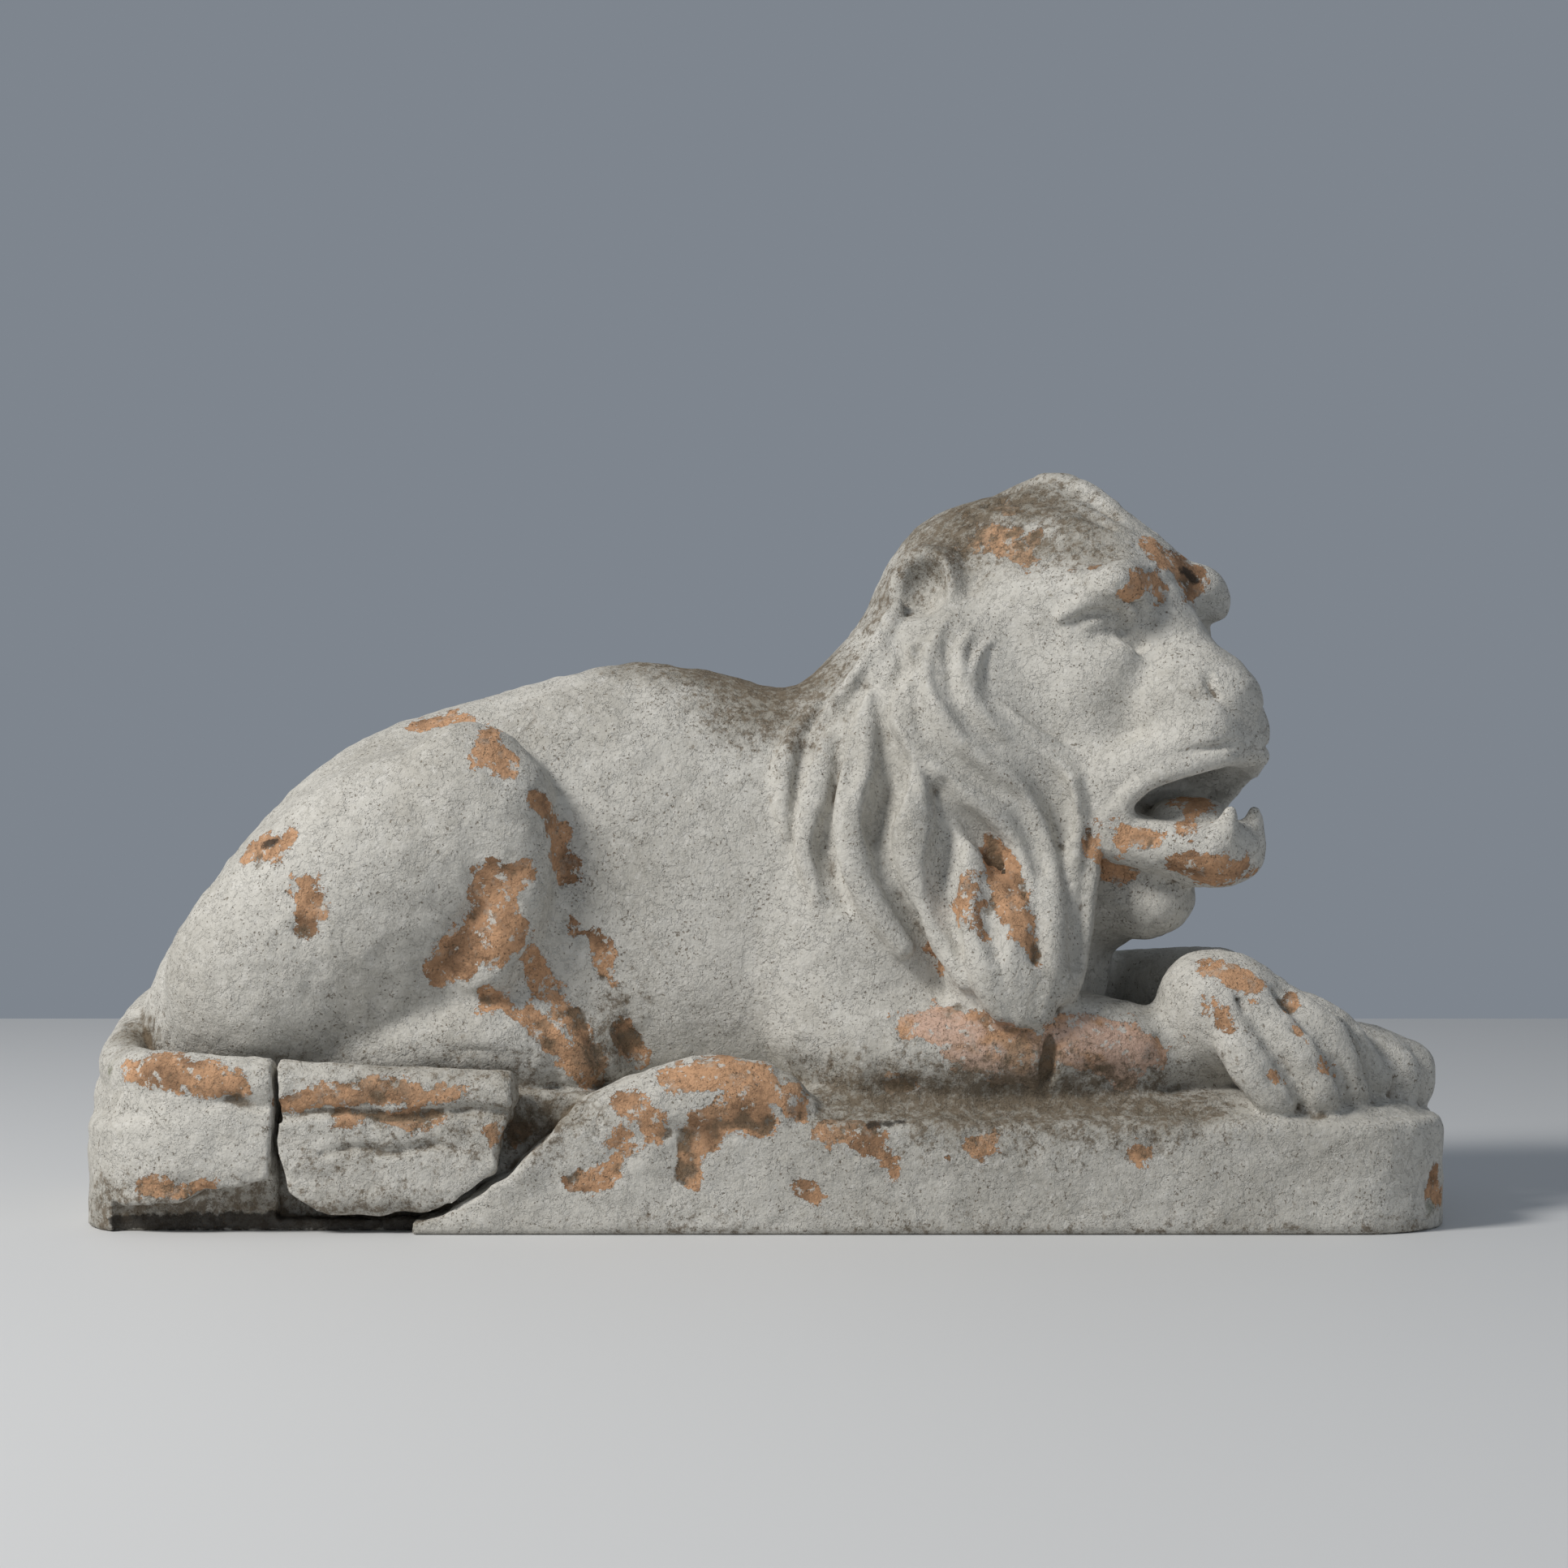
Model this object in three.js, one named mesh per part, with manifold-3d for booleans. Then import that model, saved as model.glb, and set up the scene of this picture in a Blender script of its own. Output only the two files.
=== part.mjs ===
// A lion of painted terracotta lying on its plinth, its head turned to its right, its forelegs crossed.
// The statue is hand-modelled clay, so it is built the same way: balls, rolls and slabs of clay are
// pressed together in a field of distances, the skin of the field is taken as triangles,
// and the triangles are thinned where the form is plain.
// Millimetres, +Z up, +X the way the body points, -Y the lion's right side.
// The origin is the middle of the underside.
import * as THREE from "three";
import Module from "manifold-3d";

const wasm = await Module();
wasm.setup();

// Driving sizes
const PLINTH_LENGTH = 1034;
const PLINTH_DEPTH = 360;
const PLINTH_HEIGHT = 84; // at its edge
const PLINTH_CORNER = 78; // radius of its corners, seen from above
const PLINTH_EDGE = 8; // worn rounding of its edges
const GROUND_RISE = 17; // how far the ground swells above the plinth's edge
const GROUND_INSET = 32; // where the swelling is full, in from the edge
const LION_SIZE = 1000; // the figure's own numbers are thousandths of this
const HEAD_TURN = 45; // degrees, towards the lion's right
const TAIL_RADIUS = 20;
const TAIL_TOP = 129; // height of the tail's top at the break
const BREAK_DEPTH = 45; // how deep the broken length was torn out of the plinth's front
const UNDERCUT = 24; // how far the foot of the plinth is eaten away under the tail
const SEAT_GAP = 0.3; // between its back and the wall it is stuck to

// Outline of the broken length of tail, seen from the front: [x, height]
const FRAGMENT = [
  [-362, 88],
  [-363, 72],
  [-358, 49],
  [-355, 31],
  [-341, 22],
  [-328, 15],
  [-274, 14],
  [-257, 17],
  [-232, 24],
  [-214, 37],
  [-201, 46],
  [-200, 58],
  [-196, 72],
  [-188, 97],
  [-190, TAIL_TOP + 10],
  [-362, TAIL_TOP + 10],
];
// The hole it left, with the lost length of tail: [x, height]
const RECESS = [
  [-367, 9],
  [-268, 9],
  [-256, 12],
  [-229, 19],
  [-210, 32],
  [-196, 41],
  [-162, 72],
  [-144, 91],
  [-135, 106],
  [-135, TAIL_TOP + 6],
  [-367, TAIL_TOP + 6],
];

// The foot of the plinth, eaten away under the first length of tail: [x, height]
const UNDER = [
  [-487, -50],
  [-262, -50],
  [-262, 30],
  [-371, 41],
  [-386, 36],
  [-410, 35],
  [-432, 25],
  [-460, 20],
  [-487, 24],
];

// How finely the clay is sampled, and how many triangles are kept
const LION_CELL = 5;
const LION_TRIANGLES = 9200;
const FRAGMENT_CELL = 5;
const FRAGMENT_TRIANGLES = 640;

const PAINTED_CLAY = { color: 0xd8d4cc, roughness: 0.9, metalness: 0 };

const s = LION_SIZE / 1000;
const half = { x: PLINTH_LENGTH / 2, y: PLINTH_DEPTH / 2 };
const FRONT = -half.y;

// FORMS. Each is {middle, reach, at}: at(x, y, z) is the distance to its skin, less than 0 inside.

// An ellipsoid. The turn is in degrees about X, Y and Z.
function ball(middle, radii, turn = [0, 0, 0]) {
  const way = new THREE.Euler(...turn.map(THREE.MathUtils.degToRad), "ZYX");
  const m = new THREE.Matrix4().makeRotationFromEuler(way).elements;
  const [cx, cy, cz] = middle;
  const [a, b, c] = radii;
  const at = (x, y, z) => {
    const dx = x - cx;
    const dy = y - cy;
    const dz = z - cz;
    const u = (m[0] * dx + m[1] * dy + m[2] * dz) / a;
    const v = (m[4] * dx + m[5] * dy + m[6] * dz) / b;
    const w = (m[8] * dx + m[9] * dy + m[10] * dz) / c;
    const k0 = Math.sqrt(u * u + v * v + w * w);
    const k1 = Math.sqrt((u * u) / (a * a) + (v * v) / (b * b) + (w * w) / (c * c));
    return k1 < 1e-9 ? -Math.min(a, b, c) : (k0 * (k0 - 1)) / k1;
  };
  return { middle, reach: Math.max(a, b, c), at };
}

// A roll of clay along a smooth curve through points [x, y, z, radius].
function roll(points, steps = 12) {
  const curve = new THREE.CatmullRomCurve3(
    points.map((p) => new THREE.Vector3(p[0], p[1], p[2])),
    false,
    "centripetal",
  );
  const last = points.length - 1;
  const beads = Array.from({ length: steps + 1 }, (_, n) => {
    const t = n / steps;
    const i = Math.min(Math.floor(t * last), last - 1);
    const r = THREE.MathUtils.lerp(points[i][3], points[i + 1][3], t * last - i);
    return [...curve.getPoint(t).toArray(), r];
  });
  const box = new THREE.Box3().setFromPoints(beads.map((b) => new THREE.Vector3(...b)));
  const middle = box.getCenter(new THREE.Vector3()).toArray();
  const away = (b) => Math.hypot(b[0] - middle[0], b[1] - middle[1], b[2] - middle[2]);
  const reach = Math.max(...beads.map((b) => away(b) + b[3]));
  const at = (x, y, z) => {
    let best = Infinity;
    for (let i = 0; i < steps; i++) {
      const p = beads[i];
      const q = beads[i + 1];
      const ux = q[0] - p[0];
      const uy = q[1] - p[1];
      const uz = q[2] - p[2];
      const dx = x - p[0];
      const dy = y - p[1];
      const dz = z - p[2];
      const share = (dx * ux + dy * uy + dz * uz) / (ux * ux + uy * uy + uz * uz);
      const t = Math.min(1, Math.max(0, share));
      const ex = dx - t * ux;
      const ey = dy - t * uy;
      const ez = dz - t * uz;
      const d = Math.sqrt(ex * ex + ey * ey + ez * ez) - p[3] - t * (q[3] - p[3]);
      if (d < best) best = d;
    }
    return best;
  };
  return { middle, reach, at };
}

// A box with its corners rounded in plan and its edges rounded.
function slab(low, high, corner, edge) {
  const middle = low.map((v, i) => (v + high[i]) / 2);
  const size = low.map((v, i) => (high[i] - v) / 2);
  const at = (x, y, z) => {
    const qx = Math.abs(x - middle[0]) - size[0] + corner;
    const qy = Math.abs(y - middle[1]) - size[1] + corner;
    const out = Math.hypot(Math.max(qx, 0), Math.max(qy, 0));
    const a = out + Math.min(Math.max(qx, qy), 0) - corner + edge;
    const b = Math.abs(z - middle[2]) - size[2] + edge;
    return Math.hypot(Math.max(a, 0), Math.max(b, 0)) + Math.min(Math.max(a, b), 0) - edge;
  };
  return { middle, reach: Math.hypot(...size), at };
}

// A trunk along X through stations [x, top, bottom, half-width], squarer than an ellipse.
function barrel(stations, squareness = 2.3) {
  const xs = stations.map((p) => p[0]);
  const end = xs.length - 1;
  // A smooth curve through one column of the stations
  const through = (column) => (x) => {
    const after = xs.findIndex((v) => v > x);
    const k = after < 1 ? (after < 0 ? end - 1 : 0) : after - 1;
    const value = (j) => stations[j][column];
    const slope = (j) => {
      const a = Math.max(0, j - 1);
      const b = Math.min(end, j + 1);
      return (value(b) - value(a)) / (xs[b] - xs[a]);
    };
    const h = xs[k + 1] - xs[k];
    const t = Math.min(1, Math.max(0, (x - xs[k]) / h));
    const rise = t * t * (3 - 2 * t);
    const from = t * (1 - t) * (1 - t);
    const to = t * t * (t - 1);
    return value(k) * (1 - rise) + value(k + 1) * rise + h * (from * slope(k) + to * slope(k + 1));
  };
  const [top, bottom, width] = [through(1), through(2), through(3)];
  const low = Math.min(...stations.map((p) => p[2]));
  const high = Math.max(...stations.map((p) => p[1]));
  const wide = Math.max(...stations.map((p) => p[3]));
  const middle = [(xs[0] + xs[end]) / 2, 0, (low + high) / 2];
  const reach = Math.hypot((xs[end] - xs[0]) / 2, (high - low) / 2, wide);
  const known = new Map();
  const sizes = (x) => {
    if (!known.has(x)) known.set(x, [top(x), bottom(x), width(x)]);
    return known.get(x);
  };
  const at = (x, y, z) => {
    const [t, b, w] = sizes(Math.min(xs[end], Math.max(xs[0], x)));
    const centre = b + 0.42 * (t - b);
    const h = z > centre ? t - centre : centre - b;
    const u = Math.abs(y / w) ** squareness + Math.abs((z - centre) / h) ** squareness;
    return Math.max((u ** (1 / squareness) - 1) * Math.min(w, h), xs[0] - x, x - xs[end]);
  };
  return { middle, reach, at };
}

// A form moved into a frame {origin, turn in degrees about Z}.
function within(frame, form) {
  const c = Math.cos(THREE.MathUtils.degToRad(frame.turn));
  const n = Math.sin(THREE.MathUtils.degToRad(frame.turn));
  const [ox, oy, oz] = frame.origin;
  const [mx, my, mz] = form.middle;
  const at = (x, y, z) => {
    const dx = x - ox;
    const dy = y - oy;
    return form.at(c * dx + n * dy, -n * dx + c * dy, z - oz);
  };
  return { middle: [ox + c * mx - n * my, oy + n * mx + c * my, oz + mz], reach: form.reach, at };
}

// CLAY. A grid of distances that forms are pressed onto and cut out of.
class Clay {
  constructor(low, high, cell) {
    this.low = low;
    this.cell = cell;
    this.n = low.map((v, i) => Math.ceil((high[i] - v) / cell) + 1);
    this.d = new Float32Array(this.n[0] * this.n[1] * this.n[2]).fill(60);
  }

  each(form, margin, change) {
    const { low, cell, n, d } = this;
    const from = [0, 1, 2].map((i) => Math.floor((form.middle[i] - form.reach - margin - low[i]) / cell));
    const to = [0, 1, 2].map((i) => Math.ceil((form.middle[i] + form.reach + margin - low[i]) / cell));
    for (let k = Math.max(0, from[2]); k <= Math.min(n[2] - 1, to[2]); k++)
      for (let j = Math.max(0, from[1]); j <= Math.min(n[1] - 1, to[1]); j++)
        for (let i = Math.max(0, from[0]); i <= Math.min(n[0] - 1, to[0]); i++) {
          const m = (k * n[1] + j) * n[0] + i;
          d[m] = change(d[m], form.at(low[0] + i * cell, low[1] + j * cell, low[2] + k * cell));
        }
  }

  // Presses a form on, with the joint smoothed over the blend.
  add(form, blend) {
    this.each(form, blend + 3 * this.cell, (a, b) => {
      const h = Math.max(blend - Math.abs(a - b), 0) / blend;
      return Math.min(a, b) - (h * h * blend) / 4;
    });
  }

  // Cuts a form away, with the edge smoothed over the blend.
  cut(form, blend) {
    this.each(form, blend + 3 * this.cell, (a, b) => {
      const h = Math.max(blend - Math.abs(a + b), 0) / blend;
      return Math.max(a, -b) + (h * h * blend) / 4;
    });
  }

  // The y of the skin at (x, z), met coming from the right side (-1) or the left side (1).
  skin(x, z, side) {
    const { low, cell, n, d } = this;
    const i = Math.floor((x - low[0]) / cell);
    const k = Math.floor((z - low[2]) / cell);
    const u = (x - low[0]) / cell - i;
    const w = (z - low[2]) / cell - k;
    const row = (j, up) => {
      const m = ((k + up) * n[1] + j) * n[0] + i;
      return d[m] * (1 - u) + d[m + 1] * u;
    };
    const value = (j) => row(j, 0) * (1 - w) + row(j, 1) * w;
    for (let j = side < 0 ? 0 : n[1] - 1; j >= 0 && j < n[1]; j -= side)
      if (value(j) <= 0) return low[1] + (j + (side * value(j)) / (value(j) - value(j + side))) * cell;
    return 0;
  }

  // Smooths the clay as a wet hand would: each point moves a share of the way to its neighbours' mean.
  soften(share) {
    const { n, d } = this;
    for (const stride of [1, n[0], n[0] * n[1]]) {
      const before = d.slice();
      for (let m = stride; m < d.length - stride; m++)
        d[m] += share * ((before[m - stride] + before[m + stride]) / 2 - before[m]);
    }
  }

  // Counts the grid's outer layer as air, so that clay that runs out of the grid is cut off there.
  closeOff() {
    const { n, d, cell } = this;
    for (let m = 0; m < d.length; m++) {
      const place = [m % n[0], Math.floor(m / n[0]) % n[1], Math.floor(m / (n[0] * n[1]))];
      if (place.some((v, i) => v === 0 || v === n[i] - 1)) d[m] = Math.max(d[m], cell / 2);
    }
  }

  // The skin as triangles. Each cell is six tetrahedra round its diagonal, and the skin crosses
  // a tetrahedron in one triangle or two, so that it always closes.
  triangles() {
    this.closeOff();
    const { low, cell, n, d } = this;
    const points = [];
    const faces = [];
    const stride = [1, n[0], n[0] * n[1]];
    const bits = (c) => [c & 1, (c >> 1) & 1, c >> 2];
    const offset = (c) => bits(c).reduce((sum, v, i) => sum + v * stride[i], 0);
    const corner = Array.from({ length: 8 }, (_, c) => offset(c));
    const middles = [[1, 3], [1, 5], [2, 3], [2, 6], [4, 5], [4, 6]];
    const tetrahedra = middles.map(([a, b]) => [0, a, b, 7]);
    const made = new Map();
    const cross = (m, a, b) => {
      const first = Math.min(a, b);
      const way = Math.max(a, b) ^ first;
      const u = m + corner[first];
      const key = u * 8 + way;
      if (!made.has(key)) {
        const t = Math.min(0.96, Math.max(0.04, d[u] / (d[u] - d[u + corner[way]])));
        const place = [u % n[0], Math.floor(u / n[0]) % n[1], Math.floor(u / stride[2])];
        made.set(key, points.length / 3);
        points.push(...place.map((v, i) => low[i] + (v + bits(way)[i] * t) * cell));
      }
      return made.get(key);
    };
    const face = (a, b, c, way) => {
      const v = (k, i) => points[3 * k + i];
      const [ux, uy, uz] = [v(b, 0) - v(a, 0), v(b, 1) - v(a, 1), v(b, 2) - v(a, 2)];
      const [vx, vy, vz] = [v(c, 0) - v(a, 0), v(c, 1) - v(a, 1), v(c, 2) - v(a, 2)];
      const across = [uy * vz - uz * vy, uz * vx - ux * vz, ux * vy - uy * vx];
      if (across[0] * way[0] + across[1] * way[1] + across[2] * way[2] > 0) faces.push(a, b, c);
      else faces.push(a, c, b);
    };
    const mean = (list, i) => list.reduce((sum, c) => sum + bits(c)[i], 0) / list.length;
    const centre = (list) => [0, 1, 2].map((i) => mean(list, i));
    for (let k = 0; k < n[2] - 1; k++)
      for (let j = 0; j < n[1] - 1; j++)
        for (let i = 0; i < n[0] - 1; i++) {
          const m = i + j * stride[1] + k * stride[2];
          let inside = 0;
          for (let c = 0; c < 8; c++) if (d[m + corner[c]] < 0) inside++;
          if (inside === 0 || inside === 8) continue;
          for (const all of tetrahedra) {
            const inn = all.filter((c) => d[m + corner[c]] < 0);
            if (inn.length === 0 || inn.length === 4) continue;
            const out = all.filter((c) => d[m + corner[c]] >= 0);
            const from = centre(inn);
            const way = centre(out).map((v, q) => v - from[q]);
            if (inn.length === 1) face(...out.map((c) => cross(m, inn[0], c)), way);
            else if (inn.length === 3) face(...inn.map((c) => cross(m, c, out[0])), way);
            else {
              const ring = [[0, 0], [0, 1], [1, 1], [1, 0]].map(([p, q]) => cross(m, inn[p], out[q]));
              face(ring[0], ring[1], ring[2], way);
              face(ring[0], ring[2], ring[3], way);
            }
          }
        }
    return { points, faces };
  }
}

// Merges edges, always the one that changes the form least, until few enough triangles are left.
// The change is the sum of squared distances to the planes of the faces around, kept as ten numbers a point.
function thinned({ points, faces }, target, care = () => 1) {
  const count = points.length / 3;
  const total = faces.length / 3;
  const p = Float64Array.from(points);
  const f = Int32Array.from(faces);
  const q = new Float64Array(count * 10);
  const gone = new Uint8Array(total);
  const age = new Int32Array(count);
  const around = Array.from({ length: count }, () => []);
  for (let t = 0; t < total; t++) {
    const [a, b, c] = [3 * f[3 * t], 3 * f[3 * t + 1], 3 * f[3 * t + 2]];
    const [ux, uy, uz] = [p[b] - p[a], p[b + 1] - p[a + 1], p[b + 2] - p[a + 2]];
    const [vx, vy, vz] = [p[c] - p[a], p[c + 1] - p[a + 1], p[c + 2] - p[a + 2]];
    const size = Math.hypot(uy * vz - uz * vy, uz * vx - ux * vz, ux * vy - uy * vx) || 1e-9;
    const [x, y, z] = [(uy * vz - uz * vy) / size, (uz * vx - ux * vz) / size, (ux * vy - uy * vx) / size];
    const w = -(x * p[a] + y * p[a + 1] + z * p[a + 2]);
    const share = size * care(p[a], p[a + 1], p[a + 2]);
    const plane = [x * x, x * y, x * z, x * w, y * y, y * z, y * w, z * z, z * w, w * w];
    for (const v of [a / 3, b / 3, c / 3]) {
      around[v].push(t);
      for (let i = 0; i < 10; i++) q[10 * v + i] += plane[i] * share;
    }
  }
  const m = new Float64Array(10);
  const cost = (x, y, z) =>
    x * (m[0] * x + 2 * (m[1] * y + m[2] * z + m[3])) +
    y * (m[4] * y + 2 * (m[5] * z + m[6])) +
    z * (m[7] * z + 2 * m[8]) +
    m[9];
  const costs = [];
  const ends = [];
  const spots = [];
  const heap = [];
  const less = (i, j) => costs[heap[i]] < costs[heap[j]];
  const swap = (i, j) => {
    const h = heap[i];
    heap[i] = heap[j];
    heap[j] = h;
  };
  const offer = (a, b) => {
    for (let i = 0; i < 10; i++) m[i] = q[10 * a + i] + q[10 * b + i];
    const [ax, ay, az] = [p[3 * a], p[3 * a + 1], p[3 * a + 2]];
    const [bx, by, bz] = [p[3 * b], p[3 * b + 1], p[3 * b + 2]];
    const long = Math.hypot(ax - bx, ay - by, az - bz);
    let [x, y, z] = [(ax + bx) / 2, (ay + by) / 2, (az + bz) / 2];
    let least = cost(x, y, z);
    const consider = (u, v, w) => {
      const c = cost(u, v, w);
      if (c < least) [x, y, z, least] = [u, v, w, c];
    };
    const [c0, c1, c2] = [m[4] * m[7] - m[5] * m[5], m[2] * m[5] - m[1] * m[7], m[1] * m[5] - m[2] * m[4]];
    const det = m[0] * c0 + m[1] * c1 + m[2] * c2;
    if (det > 1e-6 * (m[0] + m[4] + m[7]) ** 3) {
      const u = -(m[3] * c0 + m[6] * c1 + m[8] * c2) / det;
      const v = -(m[3] * c1 + m[6] * (m[0] * m[7] - m[2] * m[2]) + m[8] * (m[1] * m[2] - m[0] * m[5])) / det;
      const w = -(m[3] * c2 + m[6] * (m[1] * m[2] - m[0] * m[5]) + m[8] * (m[0] * m[4] - m[1] * m[1])) / det;
      if (Math.hypot(u - x, v - y, w - z) < 1.5 * long) consider(u, v, w);
    }
    consider(ax, ay, az);
    consider(bx, by, bz);
    const id = costs.push(Math.max(least, 0) + 1e-4 * long * long) - 1;
    ends.push(a, b, age[a], age[b]);
    spots.push(x, y, z);
    let i = heap.push(id) - 1;
    while (i > 0 && less(i, (i - 1) >> 1)) {
      swap(i, (i - 1) >> 1);
      i = (i - 1) >> 1;
    }
  };
  const take = () => {
    const top = heap[0];
    const end = heap.pop();
    if (heap.length) heap[0] = end;
    for (let i = 0; ; ) {
      let next = i;
      if (2 * i + 1 < heap.length && less(2 * i + 1, next)) next = 2 * i + 1;
      if (2 * i + 2 < heap.length && less(2 * i + 2, next)) next = 2 * i + 2;
      if (next === i) return top;
      swap(i, next);
      i = next;
    }
  };
  for (let t = 0; t < total; t++)
    for (let i = 0; i < 3; i++) {
      const [a, b] = [f[3 * t + i], f[3 * t + ((i + 1) % 3)]];
      if (a < b) offer(a, b);
    }
  const seen = new Int32Array(count);
  let stamp = 0;
  const shared = (a, b) => {
    const [one, two] = [++stamp, ++stamp];
    for (const t of around[a]) for (let i = 0; i < 3; i++) seen[f[3 * t + i]] = one;
    let found = 0;
    for (const t of around[b])
      for (let i = 0; i < 3; i++) {
        const v = f[3 * t + i];
        if (seen[v] === one && v !== a && v !== b) {
          seen[v] = two;
          found++;
        }
      }
    return found;
  };
  // Whether moving point v to (x, y, z) would fold a face over or squash it to a line.
  const folds = (v, other, x, y, z) => {
    for (const t of around[v]) {
      const k = f[3 * t] === v ? 0 : f[3 * t + 1] === v ? 1 : 2;
      const [b, c] = [f[3 * t + ((k + 1) % 3)], f[3 * t + ((k + 2) % 3)]];
      if (b === other || c === other) continue;
      const [ex, ey, ez] = [p[3 * c] - p[3 * b], p[3 * c + 1] - p[3 * b + 1], p[3 * c + 2] - p[3 * b + 2]];
      const normal = (px, py, pz) => {
        const [gx, gy, gz] = [px - p[3 * b], py - p[3 * b + 1], pz - p[3 * b + 2]];
        return [ey * gz - ez * gy, ez * gx - ex * gz, ex * gy - ey * gx];
      };
      const before = normal(p[3 * v], p[3 * v + 1], p[3 * v + 2]);
      const after = normal(x, y, z);
      const dot = before[0] * after[0] + before[1] * after[1] + before[2] * after[2];
      if (dot <= 0.3 * Math.hypot(...before) * Math.hypot(...after)) return true;
      const edge = Math.max(ex * ex + ey * ey + ez * ez, (x - p[3 * b]) ** 2 + (y - p[3 * b + 1]) ** 2);
      if (Math.hypot(...after) < 0.02 * edge) return true;
    }
    return false;
  };
  let left = total;
  while (left > target && heap.length) {
    const id = take();
    const [a, b] = [ends[4 * id], ends[4 * id + 1]];
    if (age[a] !== ends[4 * id + 2] || age[b] !== ends[4 * id + 3] || shared(a, b) !== 2) continue;
    const [x, y, z] = [spots[3 * id], spots[3 * id + 1], spots[3 * id + 2]];
    if (folds(a, b, x, y, z) || folds(b, a, x, y, z)) continue;
    p.set([x, y, z], 3 * a);
    for (let i = 0; i < 10; i++) q[10 * a + i] += q[10 * b + i];
    for (const t of around[b]) {
      const k = f[3 * t] === b ? 0 : f[3 * t + 1] === b ? 1 : 2;
      if (f[3 * t] === a || f[3 * t + 1] === a || f[3 * t + 2] === a) {
        const c = f[3 * t] + f[3 * t + 1] + f[3 * t + 2] - a - b;
        around[c] = around[c].filter((v) => v !== t);
        around[a] = around[a].filter((v) => v !== t);
        gone[t] = 1;
        left--;
      } else {
        f[3 * t + k] = a;
        around[a].push(t);
      }
    }
    around[b] = [];
    age[b] = -1;
    age[a]++;
    const near = new Set();
    for (const t of around[a]) for (let i = 0; i < 3; i++) near.add(f[3 * t + i]);
    near.delete(a);
    for (const v of near) offer(a, v);
  }
  const kept = new Map();
  const thin = { points: [], faces: [] };
  for (let i = 0; i < f.length; i++) {
    if (gone[Math.floor(i / 3)]) continue;
    if (!kept.has(f[i])) {
      kept.set(f[i], kept.size);
      thin.points.push(p[3 * f[i]], p[3 * f[i] + 1], p[3 * f[i] + 2]);
    }
    thin.faces.push(kept.get(f[i]));
  }
  return thin;
}

// SOLIDS, for the straight cuts.
function solidOf({ points, faces }) {
  const mesh = { numProp: 3, vertProperties: Float32Array.from(points), triVerts: Uint32Array.from(faces) };
  return new wasm.Manifold(new wasm.Mesh(mesh));
}

// A prism through the statue's depth from its outline [x, height], between two values of y.
function prism(outline, near, far) {
  const shape = new THREE.Shape(outline.map(([x, z]) => new THREE.Vector2(x, z)));
  const g = new THREE.ExtrudeGeometry(shape, { depth: far - near, bevelEnabled: false });
  const position = g.getAttribute("position");
  const ids = new Map();
  const points = [];
  const faces = [];
  for (let i = 0; i < position.count; i++) {
    const v = [position.getX(i), far - position.getZ(i), position.getY(i)];
    const key = v.map((w) => w.toFixed(3)).join();
    if (!ids.has(key)) {
      ids.set(key, ids.size);
      points.push(...v);
    }
    faces.push(ids.get(key));
  }
  return solidOf({ points, faces });
}

const rectangle = (x0, x1, z0, z1) => [[x0, z0], [x1, z0], [x1, z1], [x0, z1]];

const SIDES = [-1, 1];

// THE FIGURE. Its numbers are thousandths of LION_SIZE, and its heights are above the plinth's edge.
const lift = (p) => [p[0] * s, p[1] * s, p[2] * s + PLINTH_HEIGHT];
const lump = (middle, radii, turn) => ball(lift(middle), radii.map((r) => r * s), turn);
const rope = (points, steps) => roll(points.map((p) => [...lift(p), p[3] * s]), steps);

// Forms of the head are told in its own frame: +X out of its nose, -Y its right, heights from the eyes.
const HEAD = { origin: lift([242, -25, 361]), turn: -HEAD_TURN };
const headBall = (middle, radii, turn) =>
  within(HEAD, ball(middle.map((v) => v * s), radii.map((r) => r * s), turn));
const headRope = (points, steps) => within(HEAD, roll(points.map((p) => p.map((v) => v * s)), steps));

function trunk(clay) {
  const stations = [
    [-492, 80, 40],
    [-470, 126, 82],
    [-440, 168, 106],
    [-400, 220, 124],
    [-350, 266, 132],
    [-300, 296, 132],
    [-250, 313, 126],
    [-200, 327, 116],
    [-150, 340, 110],
    [-110, 347, 108],
    [-60, 343, 108],
    [0, 329, 110],
    [50, 326, 116],
    [100, 330, 120],
    [160, 300, 116],
    [220, 230, 96],
    [262, 120, 60],
  ];
  const bottom = PLINTH_HEIGHT - 20;
  clay.add(barrel(stations.map(([x, h, w]) => [x * s, PLINTH_HEIGHT + h * s, bottom, w * s])), 12);
}

function hindLeg(clay, side) {
  const y = (v) => -v * side;
  // Thigh and buttock, then the knee with the ridge of the shin below it
  clay.add(lump([-306, y(98), 168], [150, 58, 86], [0, -36, 0]), 26);
  clay.add(lump([-386, y(92), 100], [74, 58, 76]), 20);
  clay.add(lump([-226, y(112), 230], [58, 42, 68]), 14);
  const shin = [
    [-200, y(116), 236, 34],
    [-190, y(120), 190, 28],
    [-192, y(118), 150, 24],
    [-212, y(110), 110, 26],
  ];
  clay.add(rope(shin), 16);
  // The foot, folded under the thigh, and its toes
  const foot = [
    [-345, y(90), 34, 32],
    [-275, y(94), 48, 38],
    [-212, y(96), 55, 42],
    [-184, y(95), 46, 38],
  ];
  clay.add(rope(foot), 7);
  clay.add(rope([[-184, y(100), 84, 16], [-158, y(104), 62, 20], [-146, y(104), 36, 21]], 8), 6);
  clay.add(rope([[-158, y(88), 88, 14], [-134, y(90), 64, 18], [-124, y(90), 36, 18]], 8), 6);
}

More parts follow.
